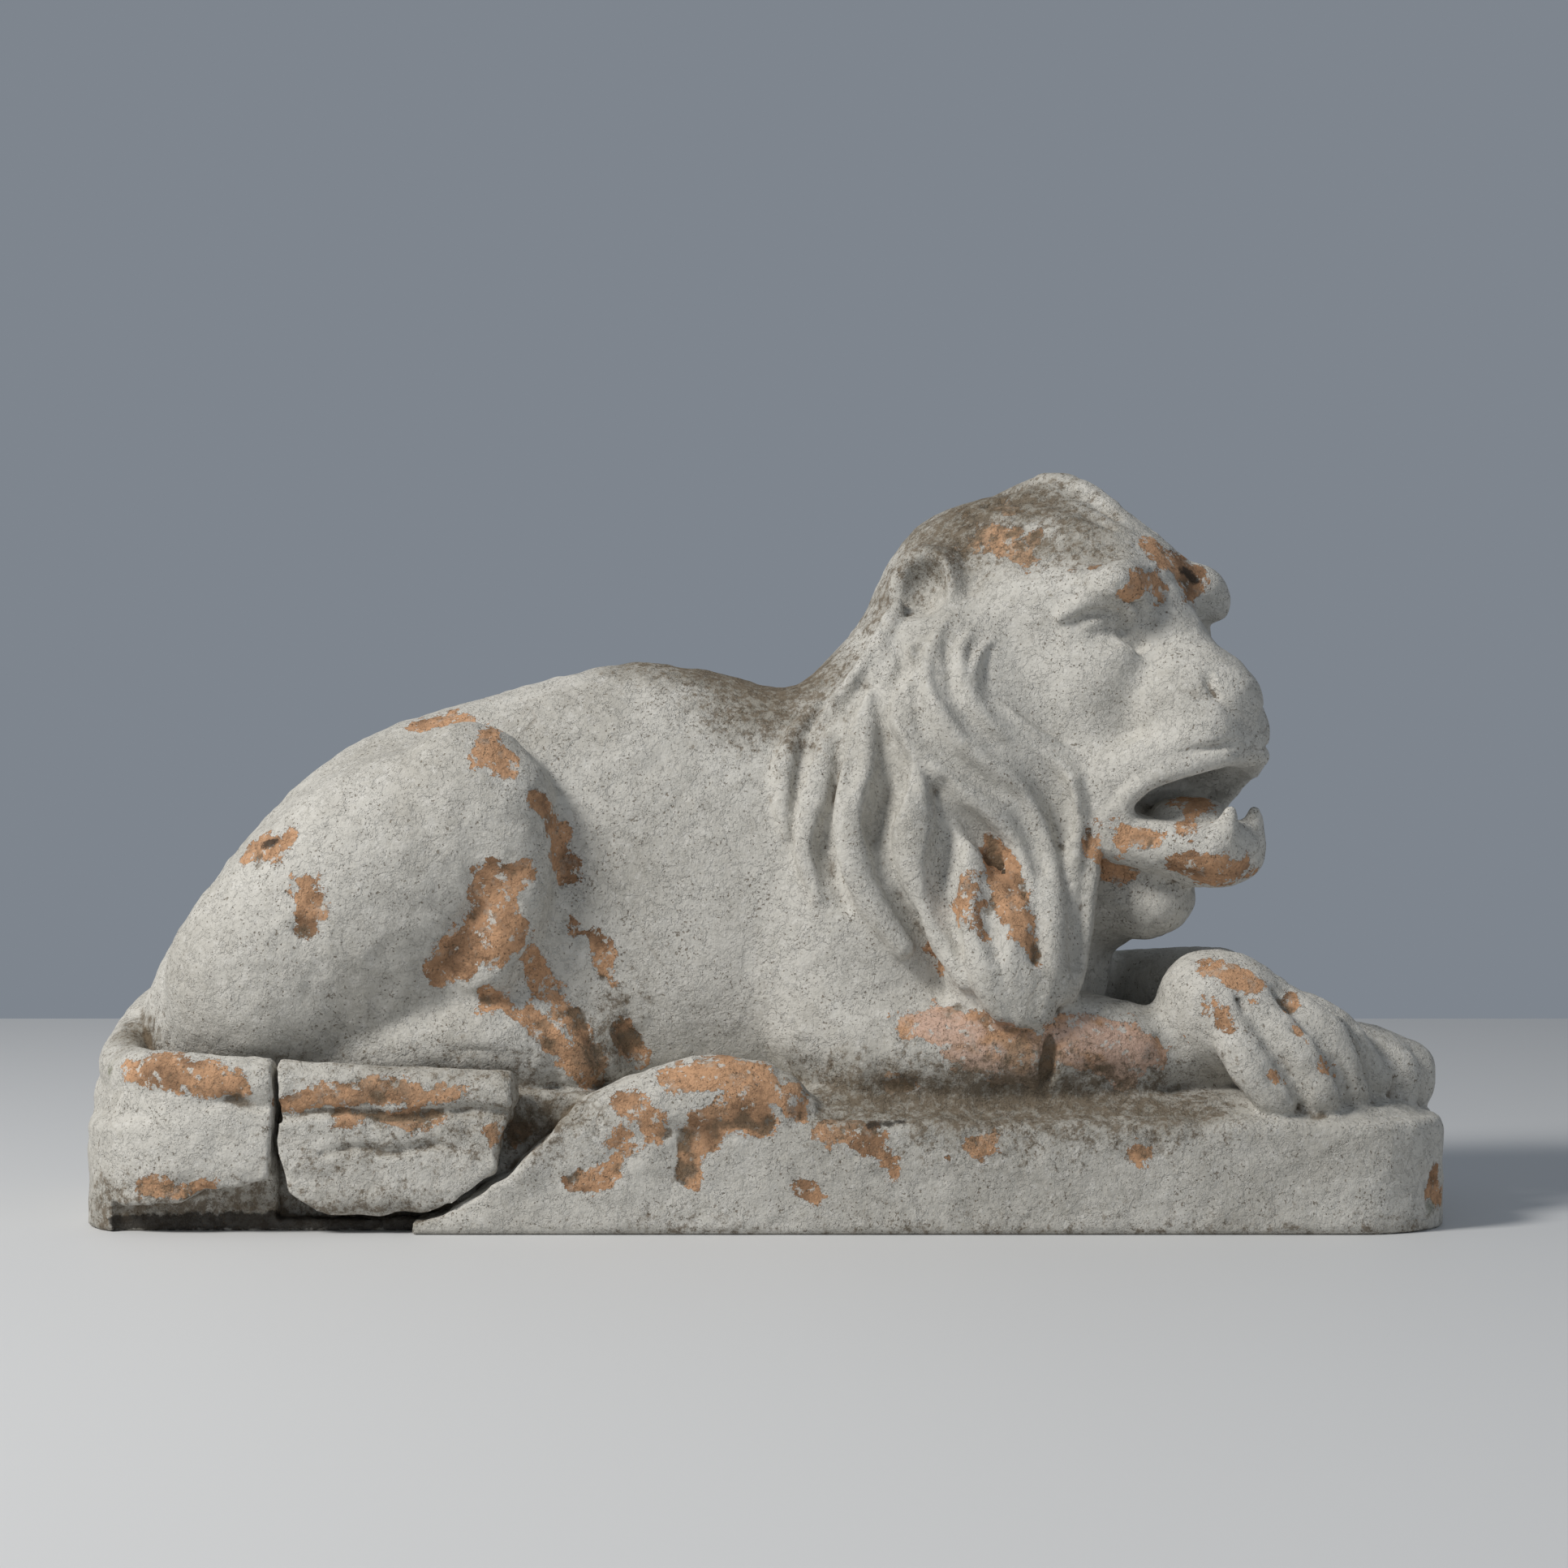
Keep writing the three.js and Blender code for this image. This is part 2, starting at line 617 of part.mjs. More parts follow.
function neckAndChest(clay) {
  clay.add(rope([[75, 0, 225, 92], [125, 8, 305, 86], [168, 16, 362, 84], [205, 10, 392, 82]]), 24);
  clay.add(lump([166, 22, 400], [74, 82, 72], [0, -16, 0]), 20);
  clay.add(lump([200, 0, 150], [76, 98, 140], [0, 6, 0]), 24);
  for (const side of SIDES) {
    clay.add(lump([138, side * 72, 240], [102, 56, 160], [0, 12, 0]), 20);
    clay.add(lump([186, side * 88, 140], [58, 40, 74], [0, 10, 0]), 14);
  }
}

function forelegs(clay) {
  // Right foreleg: shoulder, elbow, and the forearm that runs inwards under the other paw
  clay.add(lump([72, -92, 124], [66, 38, 108], [0, 14, 0]), 20);
  clay.add(lump([74, -104, 58], [60, 36, 48]), 20);
  const forearm = [
    [84, -112, 46, 38],
    [150, -120, 48, 42],
    [225, -118, 53, 42],
    [268, -112, 48, 38],
  ];
  clay.add(rope(forearm), 16);
  clay.add(rope([[268, -106, 46, 36], [340, -88, 44, 34], [420, -74, 36, 32]], 8), 8);
  clay.add(lump([452, -66, 34], [54, 36, 32]), 10);
  for (const [x, y] of [[482, -90], [498, -68], [490, -44]]) clay.add(lump([x, y, 24], [22, 14, 28]), 4);
  // Left foreleg, laid across it
  clay.add(lump([90, 98, 120], [76, 40, 110], [0, 14, 0]), 20);
  const over = [
    [70, 118, 50, 42],
    [170, 110, 56, 42],
    [250, 62, 70, 40],
    [310, 0, 84, 37],
    [348, -58, 88, 36],
  ];
  clay.add(rope(over), 12);
  clay.add(lump([352, -112, 78], [56, 48, 44], [0, 24, -24]), 14);
  const toes = [
    [[346, -146, 74, 17], [362, -160, 44, 18], [382, -160, 18, 17]],
    [[366, -138, 82, 18], [396, -152, 54, 20], [416, -154, 20, 18]],
    [[386, -120, 86, 18], [422, -132, 60, 20], [442, -132, 22, 18]],
    [[396, -98, 82, 17], [434, -108, 60, 19], [460, -106, 26, 18]],
  ];
  for (const toe of toes) clay.add(rope(toe, 8), 4);
}

function face(clay) {
  // Skull and forehead, then the brow that arches from the nose to the temple
  clay.add(headBall([-22, 0, 42], [98, 84, 80], [0, 12, 0]), 20);
  clay.add(headBall([44, 0, 58], [56, 58, 36], [0, 26, 0]), 20);
  for (const side of SIDES) {
    const brow = [
      [82, side * 30, 42, 15],
      [91, side * 53, 41, 18],
      [64, side * 63, 36, 12],
      [34, side * 70, 32, 6],
    ];
    clay.add(headRope(brow, 8), 24);
    clay.add(headBall([28, side * 50, 22], [58, 36, 34], [0, 0, -side * 34]), 22);
    // Cheeks
    clay.add(headBall([26, side * 42, -30], [66, 44, 74], [0, -12, 0]), 20);
    clay.add(headBall([60, side * 46, -18], [42, 28, 36]), 14);
    clay.add(headBall([52, side * 38, -100], [44, 34, 52]), 18);
  }
  // Bridge of the nose, muzzle and nose
  clay.add(headRope([[64, 0, 40, 34], [108, 0, -16, 28], [142, 0, -44, 28]], 8), 14);
  clay.add(headBall([114, 0, -50], [58, 50, 46], [0, 14, 0]), 14);
  clay.add(headBall([152, 0, -49], [24, 30, 23]), 6);
  // Upper lip, lower jaw and its lip, and the throat
  clay.add(headRope([[50, 0, -142, 48], [106, 0, -157, 32], [144, 0, -159, 29]], 8), 14);
  clay.add(headBall([34, 0, -185], [50, 56, 50]), 20);
  for (const side of SIDES) {
    const lip = [
      [80, side * 50, -104, 22],
      [118, side * 42, -90, 18],
      [146, side * 28, -82, 18],
      [158, side * 12, -82, 17],
    ];
    clay.add(headRope(lip, 8), 10);
    clay.add(headBall([136, side * 20, -70], [36, 26, 26]), 8);
    const jaw = [
      [66, side * 46, -128, 30],
      [90, side * 40, -150, 24],
      [120, side * 30, -155, 20],
      [150, side * 16, -159, 21],
    ];
    clay.add(headRope(jaw, 8), 12);
  }
  // The open mouth, and the fold of the lips round its corner
  clay.cut(headBall([164, 0, -117], [84, 90, 20], [0, -7, 0]), 5);
  for (const side of SIDES) {
    const fold = [
      [166, side * 22, -90, 6],
      [142, side * 42, -99, 7],
      [118, side * 56, -109, 7],
      [100, side * 58, -124, 7],
      [98, side * 54, -138, 7],
    ];
    clay.add(headRope(fold, 10), 7);
  }
}

// The small forms, pressed on last and left sharp
function faceDetails(clay) {
  clay.add(headBall([118, 0, -136], [34, 30, 17], [0, 4, 0]), 5);
  for (const side of SIDES) {
    const tooth = [[163, side * 15, -146, 10], [165, side * 15, -136, 8], [166, side * 14, -127, 6]];
    clay.add(headRope(tooth, 4), 4);
    clay.cut(headBall([158, side * 27, -36], [10, 7, 7]), 3);
    // Eye between its lids
    clay.cut(headBall([89, side * 66, 12], [18, 30, 17], [0, 0, side * 33]), 10);
    clay.add(headBall([66, side * 53, 13], [17, 21, 14], [0, 0, side * 33]), 4);
    const upper = [
      [88, side * 34, 12, 5],
      [87, side * 44, 25, 6],
      [80, side * 56, 31, 6.5],
      [68, side * 69, 27, 6],
      [54, side * 80, 16, 5],
    ];
    clay.add(headRope(upper, 12), 4);
    const lower = [
      [87, side * 36, 4, 4.5],
      [83, side * 50, -2, 5],
      [72, side * 63, -3, 5],
      [58, side * 75, 5, 4.5],
    ];
    clay.add(headRope(lower, 10), 5);
  }
  // Beard below the chin, in two tiers
  clay.add(headBall([52, 0, -168], [52, 44, 30], [0, 6, 0]), 8);
  clay.add(headBall([66, 0, -193], [48, 38, 36], [0, 8, 0]), 5);
}

function ears(clay) {
  for (const side of SIDES) {
    clay.add(headBall([-62, side * 98, 36], [32, 25, 34], [0, 0, side * 30]), 9);
    clay.cut(headBall([-50, side * 120, 42], [22, 22, 23], [0, 0, side * 45]), 6);
    const rim = [
      [-38, 86, 14],
      [-48, 98, 8],
      [-62, 110, 10],
      [-76, 118, 24],
      [-80, 120, 42],
      [-74, 116, 60],
      [-60, 106, 69],
      [-44, 94, 66],
    ];
    clay.add(headRope(rim.map(([x, y, z]) => [x, side * y, z, 6]), 18), 9);
  }
}

// Locks of the mane, [x, height, radius] down each as seen from the side
const LOCKS = [
  [[178, 368, 5], [166, 350, 9], [159, 330, 13], [162, 312, 14], [178, 294, 15], [202, 278, 15],
    [224, 262, 15], [234, 240, 16], [237, 210, 16], [234, 172, 17], [228, 128, 16], [222, 96, 14]],
  [[145, 380, 5], [131, 356, 10], [126, 332, 14], [130, 314, 15], [138, 297, 16], [155, 275, 16],
    [176, 257, 16], [194, 238, 16], [204, 212, 15], [206, 184, 14], [204, 150, 15], [200, 108, 16],
    [198, 80, 14]],
  [[108, 340, 5], [110, 318, 10], [116, 290, 12], [128, 264, 13], [148, 243, 13], [166, 224, 12],
    [176, 202, 10], [180, 180, 7]],
  [[136, 236, 6], [146, 206, 14], [155, 174, 18], [161, 140, 17], [168, 104, 15], [178, 82, 12]],
  [[100, 318, 6], [104, 290, 11], [108, 258, 15], [112, 223, 19], [116, 190, 17], [124, 158, 14],
    [138, 128, 12], [152, 104, 10]],
  [[78, 318, 6], [76, 290, 12], [72, 258, 15], [66, 223, 16], [66, 190, 15], [82, 158, 12], [104, 128, 9]],
  [[58, 322, 5], [48, 290, 10], [42, 258, 12], [36, 228, 12], [32, 198, 10], [40, 166, 7]],
  [[102, 388, 6], [90, 358, 11], [72, 330, 11], [52, 304, 8], [36, 286, 5]],
];

// The widest grooves between them, in the same way
const GROOVES = [
  [[133, 246, 6], [139, 233, 10], [139, 214, 12], [134, 190, 12], [134, 157, 9], [144, 132, 6]],
  [[93, 284, 6], [96, 266, 12], [91, 242, 13], [84, 219, 10], [83, 212, 6]],
  [[181, 172, 6], [184, 150, 9], [186, 128, 7]],
];

// A roll laid on the skin of the neck, its depth evened out along it, a share of its radius out of the skin
function onSkin(clay, path, side, share) {
  const spots = path.map(([x, h, r]) => [x * s, h * s + PLINTH_HEIGHT, r * s]);
  const depths = spots.map(([x, z]) => clay.skin(x, z, side));
  const even = depths.map((v, i) => (v * 2 + (depths[i - 1] ?? v) + (depths[i + 1] ?? v)) / 4);
  return roll(spots.map(([x, z, r], i) => [x, even[i] + side * share * r, z, r]), 20);
}

function mane(clay) {
  // The ends of the hair hang over the forearms.
  for (const side of SIDES) clay.add(lump([186, side * 128, 114], [50, 36, 52]), 9);
  // All the locks are laid on the bare neck before any is pressed on.
  const locks = SIDES.flatMap((side) => LOCKS.map((path) => onSkin(clay, path, side, 0.2)));
  for (const form of locks) clay.add(form, 6);
  const grooves = SIDES.flatMap((side) => GROOVES.map((path) => onSkin(clay, path, side, 0.5)));
  for (const form of grooves) clay.cut(form, 4);
  // The crest of hair on the crown
  clay.add(headRope([[-70, 0, 96, 26], [-20, 0, 113, 24], [26, 0, 100, 18], [58, 0, 76, 12]], 10), 8);
}

// THE PLINTH, with the tail that lies round its end and along its front.
function tailLine() {
  const left = TAIL_RADIUS - half.x;
  const front = FRONT + TAIL_RADIUS;
  const top = TAIL_TOP - TAIL_RADIUS;
  return [
    [left + 48, 70, top + 66],
    [left + 20, 44, top + 50],
    [left + 6, 8, top + 38],
    [left + 1, -30, top + 24],
    [left + 1, front + 90, top + 12],
    [left + 14, front + 44, top + 6],
    [left + 42, front + 12, top + 6],
    [left + 80, front, top + 4],
    [-370, front, top],
    [-300, front, top - 4],
    [-180, front, top - 9],
  ].map((p) => [...p, TAIL_RADIUS]);
}

// The band of clay below the tail, as high as the tail's underside.
function band(clay, low) {
  const line = tailLine().slice(3);
  const wall = line.map(([x, y, z]) => [x, y + 4, z - TAIL_RADIUS - 4, 24]);
  clay.add(roll(wall, 16), 8);
  clay.add(roll(wall.map(([x, y, z, r]) => [x, y - 1, z - 26, r]), 16), 10);
  clay.add(roll(wall.map(([x, y, z, r]) => [x, y - 1, low, r]), 16), 10);
  clay.add(roll(tailLine(), 26), 4);
}

function plinth(clay) {
  const [low, high] = [[-half.x, FRONT, -12], [half.x, half.y, PLINTH_HEIGHT]];
  clay.add(slab(low, high, PLINTH_CORNER, PLINTH_EDGE), 4);
  for (const step of [0.5, 1]) {
    const [x, y] = [half.x - step * GROUND_INSET, half.y - step * GROUND_INSET];
    const top = PLINTH_HEIGHT + step * GROUND_RISE;
    clay.add(slab([-x, -y, 30], [x, y, top], PLINTH_CORNER, GROUND_RISE), 14);
  }
}

function tuft(clay) {
  const y = FRONT + 26;
  const end = [
    [-176, y, 48, 16],
    [-140, y, 72, 24],
    [-100, y, 86, 29],
    [-45, y, 98, 34],
    [2, y, 94, 30],
    [36, y, 82, 13],
  ];
  clay.add(roll(end), 5);
  const lower = [
    [-170, y, 30, 14],
    [-120, y - 2, 44, 22],
    [-84, y - 3, 60, 24],
    [-60, y - 2, 84, 20],
  ];
  clay.add(roll(lower), 5);
  clay.add(roll([[-66, y - 4, 52, 12], [-48, y - 6, 72, 20], [-14, y - 4, 88, 20]], 8), 4);
}

function lionOnPlinth() {
  const pad = 3 * LION_CELL;
  const clay = new Clay(
    [-half.x - pad, FRONT - pad, -pad],
    [half.x + pad, half.y + pad, PLINTH_HEIGHT + 510 * s + pad],
    LION_CELL,
  );
  plinth(clay);
  trunk(clay);
  for (const side of SIDES) hindLeg(clay, side);
  neckAndChest(clay);
  forelegs(clay);
  face(clay);
  ears(clay);
  mane(clay);
  clay.soften(0.3);
  clay.soften(0.3);
  faceDetails(clay);
  band(clay, 46);
  tuft(clay);
  const headward = (x, y, z) => (x > 20 * s && z > PLINTH_HEIGHT + 90 * s ? 2.5 : 1);
  const skin = thinned(clay.triangles(), LION_TRIANGLES, headward);
  return solidOf(skin)
    .intersect(prism(rectangle(-2000, 2000, 0, 2000), -1000, 1000))
    .subtract(prism(UNDER, FRONT - 100, FRONT + UNDERCUT))
    .subtract(prism(RECESS, FRONT - 100, FRONT + BREAK_DEPTH));
}

function brokenTailLength() {
  const pad = 3 * FRAGMENT_CELL;
  const clay = new Clay([-420, FRONT - pad, -10], [-130, FRONT + 70, 160], FRAGMENT_CELL);
  band(clay, 30);
  return solidOf(thinned(clay.triangles(), FRAGMENT_TRIANGLES)).intersect(
    prism(FRAGMENT, FRONT - 100, FRONT + BREAK_DEPTH - SEAT_GAP),
  );
}

function meshOf(name, solid) {
  const made = solid.getMesh();
  const g = new THREE.BufferGeometry();
  g.setAttribute("position", new THREE.BufferAttribute(made.vertProperties, made.numProp));
  g.setIndex(new THREE.BufferAttribute(made.triVerts, 1));
  g.computeVertexNormals();
  const mesh = new THREE.Mesh(g, new THREE.MeshStandardMaterial(PAINTED_CLAY));
  mesh.name = name;
  return mesh;
}

const statue = new THREE.Group();
statue.name = "terracotta_lion";
statue.add(meshOf("lion_on_plinth", lionOnPlinth()));
statue.add(meshOf("broken_tail_length", brokenTailLength()));
export default statue;
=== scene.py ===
# %% [markdown]
# # A garden lion of painted terracotta
#
# This lesson builds one old garden statue: a lion that lies on its plinth with its head turned
# to its right. It was modelled by hand in clay, fired, limewashed white, and then stood outdoors
# for a lifetime. The limewash has flaked off in patches, rain has left grey dirt on whatever
# faces up, and one length of the tail has broken off and been stuck back.
#
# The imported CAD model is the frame. It gives the size and the place of everything, and each
# piece made here stands for one of its nodes.

# %% Open the frame
import math

import bpy
import numpy as np
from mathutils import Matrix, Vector


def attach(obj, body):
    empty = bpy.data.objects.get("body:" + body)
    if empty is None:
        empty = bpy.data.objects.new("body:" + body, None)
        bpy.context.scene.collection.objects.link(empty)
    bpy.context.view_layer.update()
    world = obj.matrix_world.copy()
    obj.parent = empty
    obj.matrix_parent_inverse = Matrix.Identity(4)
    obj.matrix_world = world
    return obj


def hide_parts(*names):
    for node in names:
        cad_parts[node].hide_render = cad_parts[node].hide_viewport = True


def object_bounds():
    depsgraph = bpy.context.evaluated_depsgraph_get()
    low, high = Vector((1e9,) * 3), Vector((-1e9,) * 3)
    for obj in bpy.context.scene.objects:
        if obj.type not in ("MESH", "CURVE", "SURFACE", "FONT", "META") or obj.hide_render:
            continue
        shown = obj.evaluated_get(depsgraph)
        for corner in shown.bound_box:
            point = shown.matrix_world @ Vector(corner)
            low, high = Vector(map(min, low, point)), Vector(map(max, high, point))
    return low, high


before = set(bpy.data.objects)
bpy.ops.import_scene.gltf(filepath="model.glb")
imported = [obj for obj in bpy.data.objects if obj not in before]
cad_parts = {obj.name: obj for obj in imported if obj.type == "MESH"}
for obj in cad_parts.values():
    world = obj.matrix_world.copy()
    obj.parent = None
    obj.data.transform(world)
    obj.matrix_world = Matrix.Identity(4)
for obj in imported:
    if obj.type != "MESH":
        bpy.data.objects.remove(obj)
CAD_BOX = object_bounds()
print("nodes:", sorted(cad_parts))

# %% [markdown]
# ## Clay as a field of distances
#
# A hand-modelled figure has no profile that could be turned or swept: it is lumps and rolls of
# clay pressed together and smoothed with a thumb. Sculpting it point by point would be long,
# and grids of two parameters would leave a seam at every joint. So the figure is a field of
# distances on a three-dimensional grid. Each value says how far that spot is from the skin,
# and it is less than 0 inside the clay. Pressing two lumps together is then the smaller of
# two numbers, with the joint rounded, and all of it is whole arrays.
# Sizes in these cells are millimetres, as in the CAD model, and turn to metres at the end.

# %% How finely the clay is sampled
CELL = 2.8
SOFTENING = 0.3
FAR = 60.0
DICE = np.random.default_rng(1874)
print("cell:", CELL, "mm")


# %% The block of clay
class Clay:
    """A grid of distances that forms are pressed onto and cut out of."""

    def __init__(self, low, high, cell):
        self.low = np.array(low, float)
        self.cell = cell
        self.n = np.ceil((np.array(high, float) - self.low) / cell).astype(int) + 1
        self.d = np.full(self.n, FAR, np.float32)

    def span(self, low, high, margin):
        """First and last grid places of a box with a margin, kept on the grid."""
        a = np.floor((np.array(low) - margin - self.low) / self.cell).astype(int)
        b = np.ceil((np.array(high) + margin - self.low) / self.cell).astype(int) + 1
        return np.clip(a, 0, self.n), np.clip(b, 0, self.n)

    def field(self, form, margin):
        """The form's own distances on the part of the grid that it reaches. A form is a list
        of simple bodies, and its distance is the smallest of theirs."""
        spans = [self.span(low, high, margin) for low, high, at in form]
        start = np.min([a for a, b in spans], axis=0)
        end = np.max([b for a, b in spans], axis=0)
        near = np.full(np.maximum(end - start, 0), 1e3, np.float32)
        for (a, b), (low, high, at) in zip(spans, form):
            if (b <= a).any():
                continue
            axes = [self.low[i] + np.arange(a[i], b[i]) * self.cell for i in range(3)]
            x, y, z = (v.astype(np.float32) for v in axes)
            part = tuple(slice(p, q) for p, q in zip(a - start, b - start))
            here = at(x[:, None, None], y[None, :, None], z[None, None, :])
            near[part] = np.minimum(near[part], here)
        return tuple(slice(p, q) for p, q in zip(start, end)), near

    def add(self, form, blend):
        """Presses a form on: the smaller distance, less a quarter of h squared times the blend,
        where h falls from 1 to 0 as the two distances part."""
        part, b = self.field(form, blend + 3 * self.cell)
        a = self.d[part]
        h = np.maximum(blend - np.abs(a - b), 0) / blend
        self.d[part] = np.minimum(a, b) - h * h * (blend / 4)

    def cut(self, form, blend):
        """Cuts a form away, its edge rounded in the same way."""
        part, b = self.field(form, blend + 3 * self.cell)
        a = self.d[part]
        h = np.maximum(blend - np.abs(a + b), 0) / blend
        self.d[part] = np.maximum(a, -b) + h * h * (blend / 4)

    def keep(self, form):
        """Keeps only what lies inside a form."""
        part, b = self.field(form, 4 * self.cell)
        outside = np.full_like(self.d, FAR)
        outside[part] = np.maximum(self.d[part], b)
        self.d = outside

    def skin(self, x, z, side):
        """The y of the skin at (x, z), met coming from the right side (-1) or the left (1)."""
        u = (np.asarray(x, float) - self.low[0]) / self.cell
        w = (np.asarray(z, float) - self.low[2]) / self.cell
        i, k = np.floor(u).astype(int), np.floor(w).astype(int)
        u, w = (u - i)[:, None], (w - k)[:, None]
        d = self.d
        below = d[i, :, k] * (1 - u) + d[i + 1, :, k] * u
        above = d[i, :, k + 1] * (1 - u) + d[i + 1, :, k + 1] * u
        column = (below * (1 - w) + above * w)[:, ::-side]
        first = np.maximum(np.argmax(column <= 0, axis=1), 1)
        rows = np.arange(len(first))
        a, b = column[rows, first - 1], column[rows, first]
        step = first - 1 + a / (a - b)
        if side > 0:
            step = self.n[1] - 1 - step
        return self.low[1] + step * self.cell

    def soften(self, share):
        """Smooths the clay as a wet hand would, along each axis in turn."""
        for axis in range(3):
            d = np.moveaxis(self.d, axis, 0)
            d[1:-1] += share * ((d[:-2] + d[2:]) / 2 - d[1:-1])


# %% Lumps: an ellipsoid's distance
def rotation(turn):
    """Turns in degrees about X, then Y, then Z, as one matrix."""
    a, b, c = np.radians(turn)
    rx = np.array([[1, 0, 0], [0, math.cos(a), -math.sin(a)], [0, math.sin(a), math.cos(a)]])
    ry = np.array([[math.cos(b), 0, math.sin(b)], [0, 1, 0], [-math.sin(b), 0, math.cos(b)]])
    rz = np.array([[math.cos(c), -math.sin(c), 0], [math.sin(c), math.cos(c), 0], [0, 0, 1]])
    return rz @ ry @ rx


def ball(middle, radii, turn=(0, 0, 0), about=np.eye(3)):
    """With k the length of the point measured in radii, and g the same over the squared radii,
    the distance is close to k (k - 1) / g."""
    axes = about @ rotation(turn)
    r = np.array(radii, float)
    c = np.array(middle, float)
    reach = np.sqrt(((axes * r) ** 2).sum(1))

    def at(x, y, z):
        k = g = 0
        for i in range(3):
            m = axes[:, i].astype(np.float32)
            u = ((x - c[0]) * m[0] + (y - c[1]) * m[1] + (z - c[2]) * m[2]) / r[i]
            k = k + u * u
            g = g + (u / r[i]) ** 2
        k = np.sqrt(k)
        return k * (k - 1) / np.maximum(np.sqrt(g), 1e-6)

    return [(c - reach, c + reach, at)]


# %% Rolls: a smooth line through points, and round cones along it
def smooth_line(points, steps):
    """A centripetal Catmull-Rom curve: its slope at each point weighs the two sides by the
    square roots of their lengths. The radius goes straight from point to point."""
    p = np.array(points, float)
    last = len(p) - 1
    ends = np.vstack([2 * p[0] - p[1], p, 2 * p[-1] - p[-2]])
    t = np.arange(steps + 1) / steps * last
    i = np.minimum(t.astype(int), last - 1)
    w = (t - i)[:, None]
    a, b, c, d = (ends[i + k, :3] for k in range(4))

    def root(v):
        return np.maximum(np.sqrt(np.linalg.norm(v, axis=1)), 1e-4)[:, None]

    ab, bc, cd = root(b - a), root(c - b), root(d - c)
    out = ((b - a) / ab - (c - a) / (ab + bc) + (c - b) / bc) * bc
    into = ((c - b) / bc - (d - b) / (bc + cd) + (d - c) / cd) * bc
    cube = 2 * b - 2 * c + out + into
    square = -3 * b + 3 * c - 2 * out - into
    line = b + w * (out + w * (square + w * cube))
    radius = p[i, 3:4] * (1 - w) + p[i + 1, 3:4] * w
    return np.hstack([line, radius])


def cone(p, q):
    """A round cone: the distance to the line from p to q, less the radius at that place."""
    way = q[:3] - p[:3]
    long = way @ way
    low = np.minimum(p[:3] - p[3], q[:3] - q[3])
    high = np.maximum(p[:3] + p[3], q[:3] + q[3])

    def at(x, y, z):
        dx, dy, dz = x - p[0], y - p[1], z - p[2]
        t = np.clip((dx * way[0] + dy * way[1] + dz * way[2]) / long, 0, 1)
        away = (dx - t * way[0]) ** 2 + (dy - t * way[1]) ** 2 + (dz - t * way[2]) ** 2
        return np.sqrt(away) - p[3] - t * (q[3] - p[3])

    return low, high, at


def roll(points, steps=12):
    """Round cones end to end along the smooth line through points (x, y, z, radius)."""
    beads = smooth_line(points, steps)
    return [cone(p, q) for p, q in zip(beads[:-1], beads[1:])]


# %% Slabs, barrels and prisms
def slab(low, high, corner, edge):
    """A box, its corners rounded in plan and its edges rounded: first the distance to the
    rounded plan, then the distance to the corner that plan and height make."""
    middle = (np.array(low) + np.array(high)) / 2
    size = (np.array(high) - np.array(low)) / 2

    def at(x, y, z):
        qx = np.abs(x - middle[0]) - size[0] + corner
        qy = np.abs(y - middle[1]) - size[1] + corner
        out = np.hypot(np.maximum(qx, 0), np.maximum(qy, 0))
        a = out + np.minimum(np.maximum(qx, qy), 0) - corner + edge
        b = np.abs(z - middle[2]) - size[2] + edge
        return np.hypot(np.maximum(a, 0), np.maximum(b, 0)) + np.minimum(np.maximum(a, b), 0) - edge

    return [(np.array(low, float), np.array(high, float), at)]


def through(xs, values, x):
    """A smooth curve through values at xs, its slope at each the line between its neighbours."""
    slope = np.empty(len(xs))
    slope[1:-1] = (values[2:] - values[:-2]) / (xs[2:] - xs[:-2])
    slope[0] = (values[1] - values[0]) / (xs[1] - xs[0])
    slope[-1] = (values[-1] - values[-2]) / (xs[-1] - xs[-2])
    k = np.clip(np.searchsorted(xs, x, side="right") - 1, 0, len(xs) - 2)
    h = xs[k + 1] - xs[k]
    t = np.clip((x - xs[k]) / h, 0, 1)
    rise = t * t * (3 - 2 * t)
    bend = slope[k] * t * (1 - t) ** 2 + slope[k + 1] * t * t * (t - 1)
    return values[k] * (1 - rise) + values[k + 1] * rise + h * bend


def barrel(stations, squareness=2.3):
    """A trunk along X through stations (x, top, bottom, half-width). Across, it is an ellipse
    whose squares are a slightly higher power, so that it is squarer than round."""
    s = np.array(stations, float)
    xs = s[:, 0]
    low = np.array([xs[0], -s[:, 3].max(), s[:, 2].min()])
    high = np.array([xs[-1], s[:, 3].max(), s[:, 1].max()])

    def at(x, y, z):
        t, b, w = (through(xs, s[:, i], np.clip(x, xs[0], xs[-1])) for i in (1, 2, 3))
        centre = b + 0.42 * (t - b)
        h = np.where(z > centre, t - centre, centre - b)
        u = np.abs(y / w) ** squareness + np.abs((z - centre) / h) ** squareness
        skin = (u ** (1 / squareness) - 1) * np.minimum(w, h)
        return np.maximum(skin, np.maximum(xs[0] - x, x - xs[-1]))

    return [(low, high, at)]


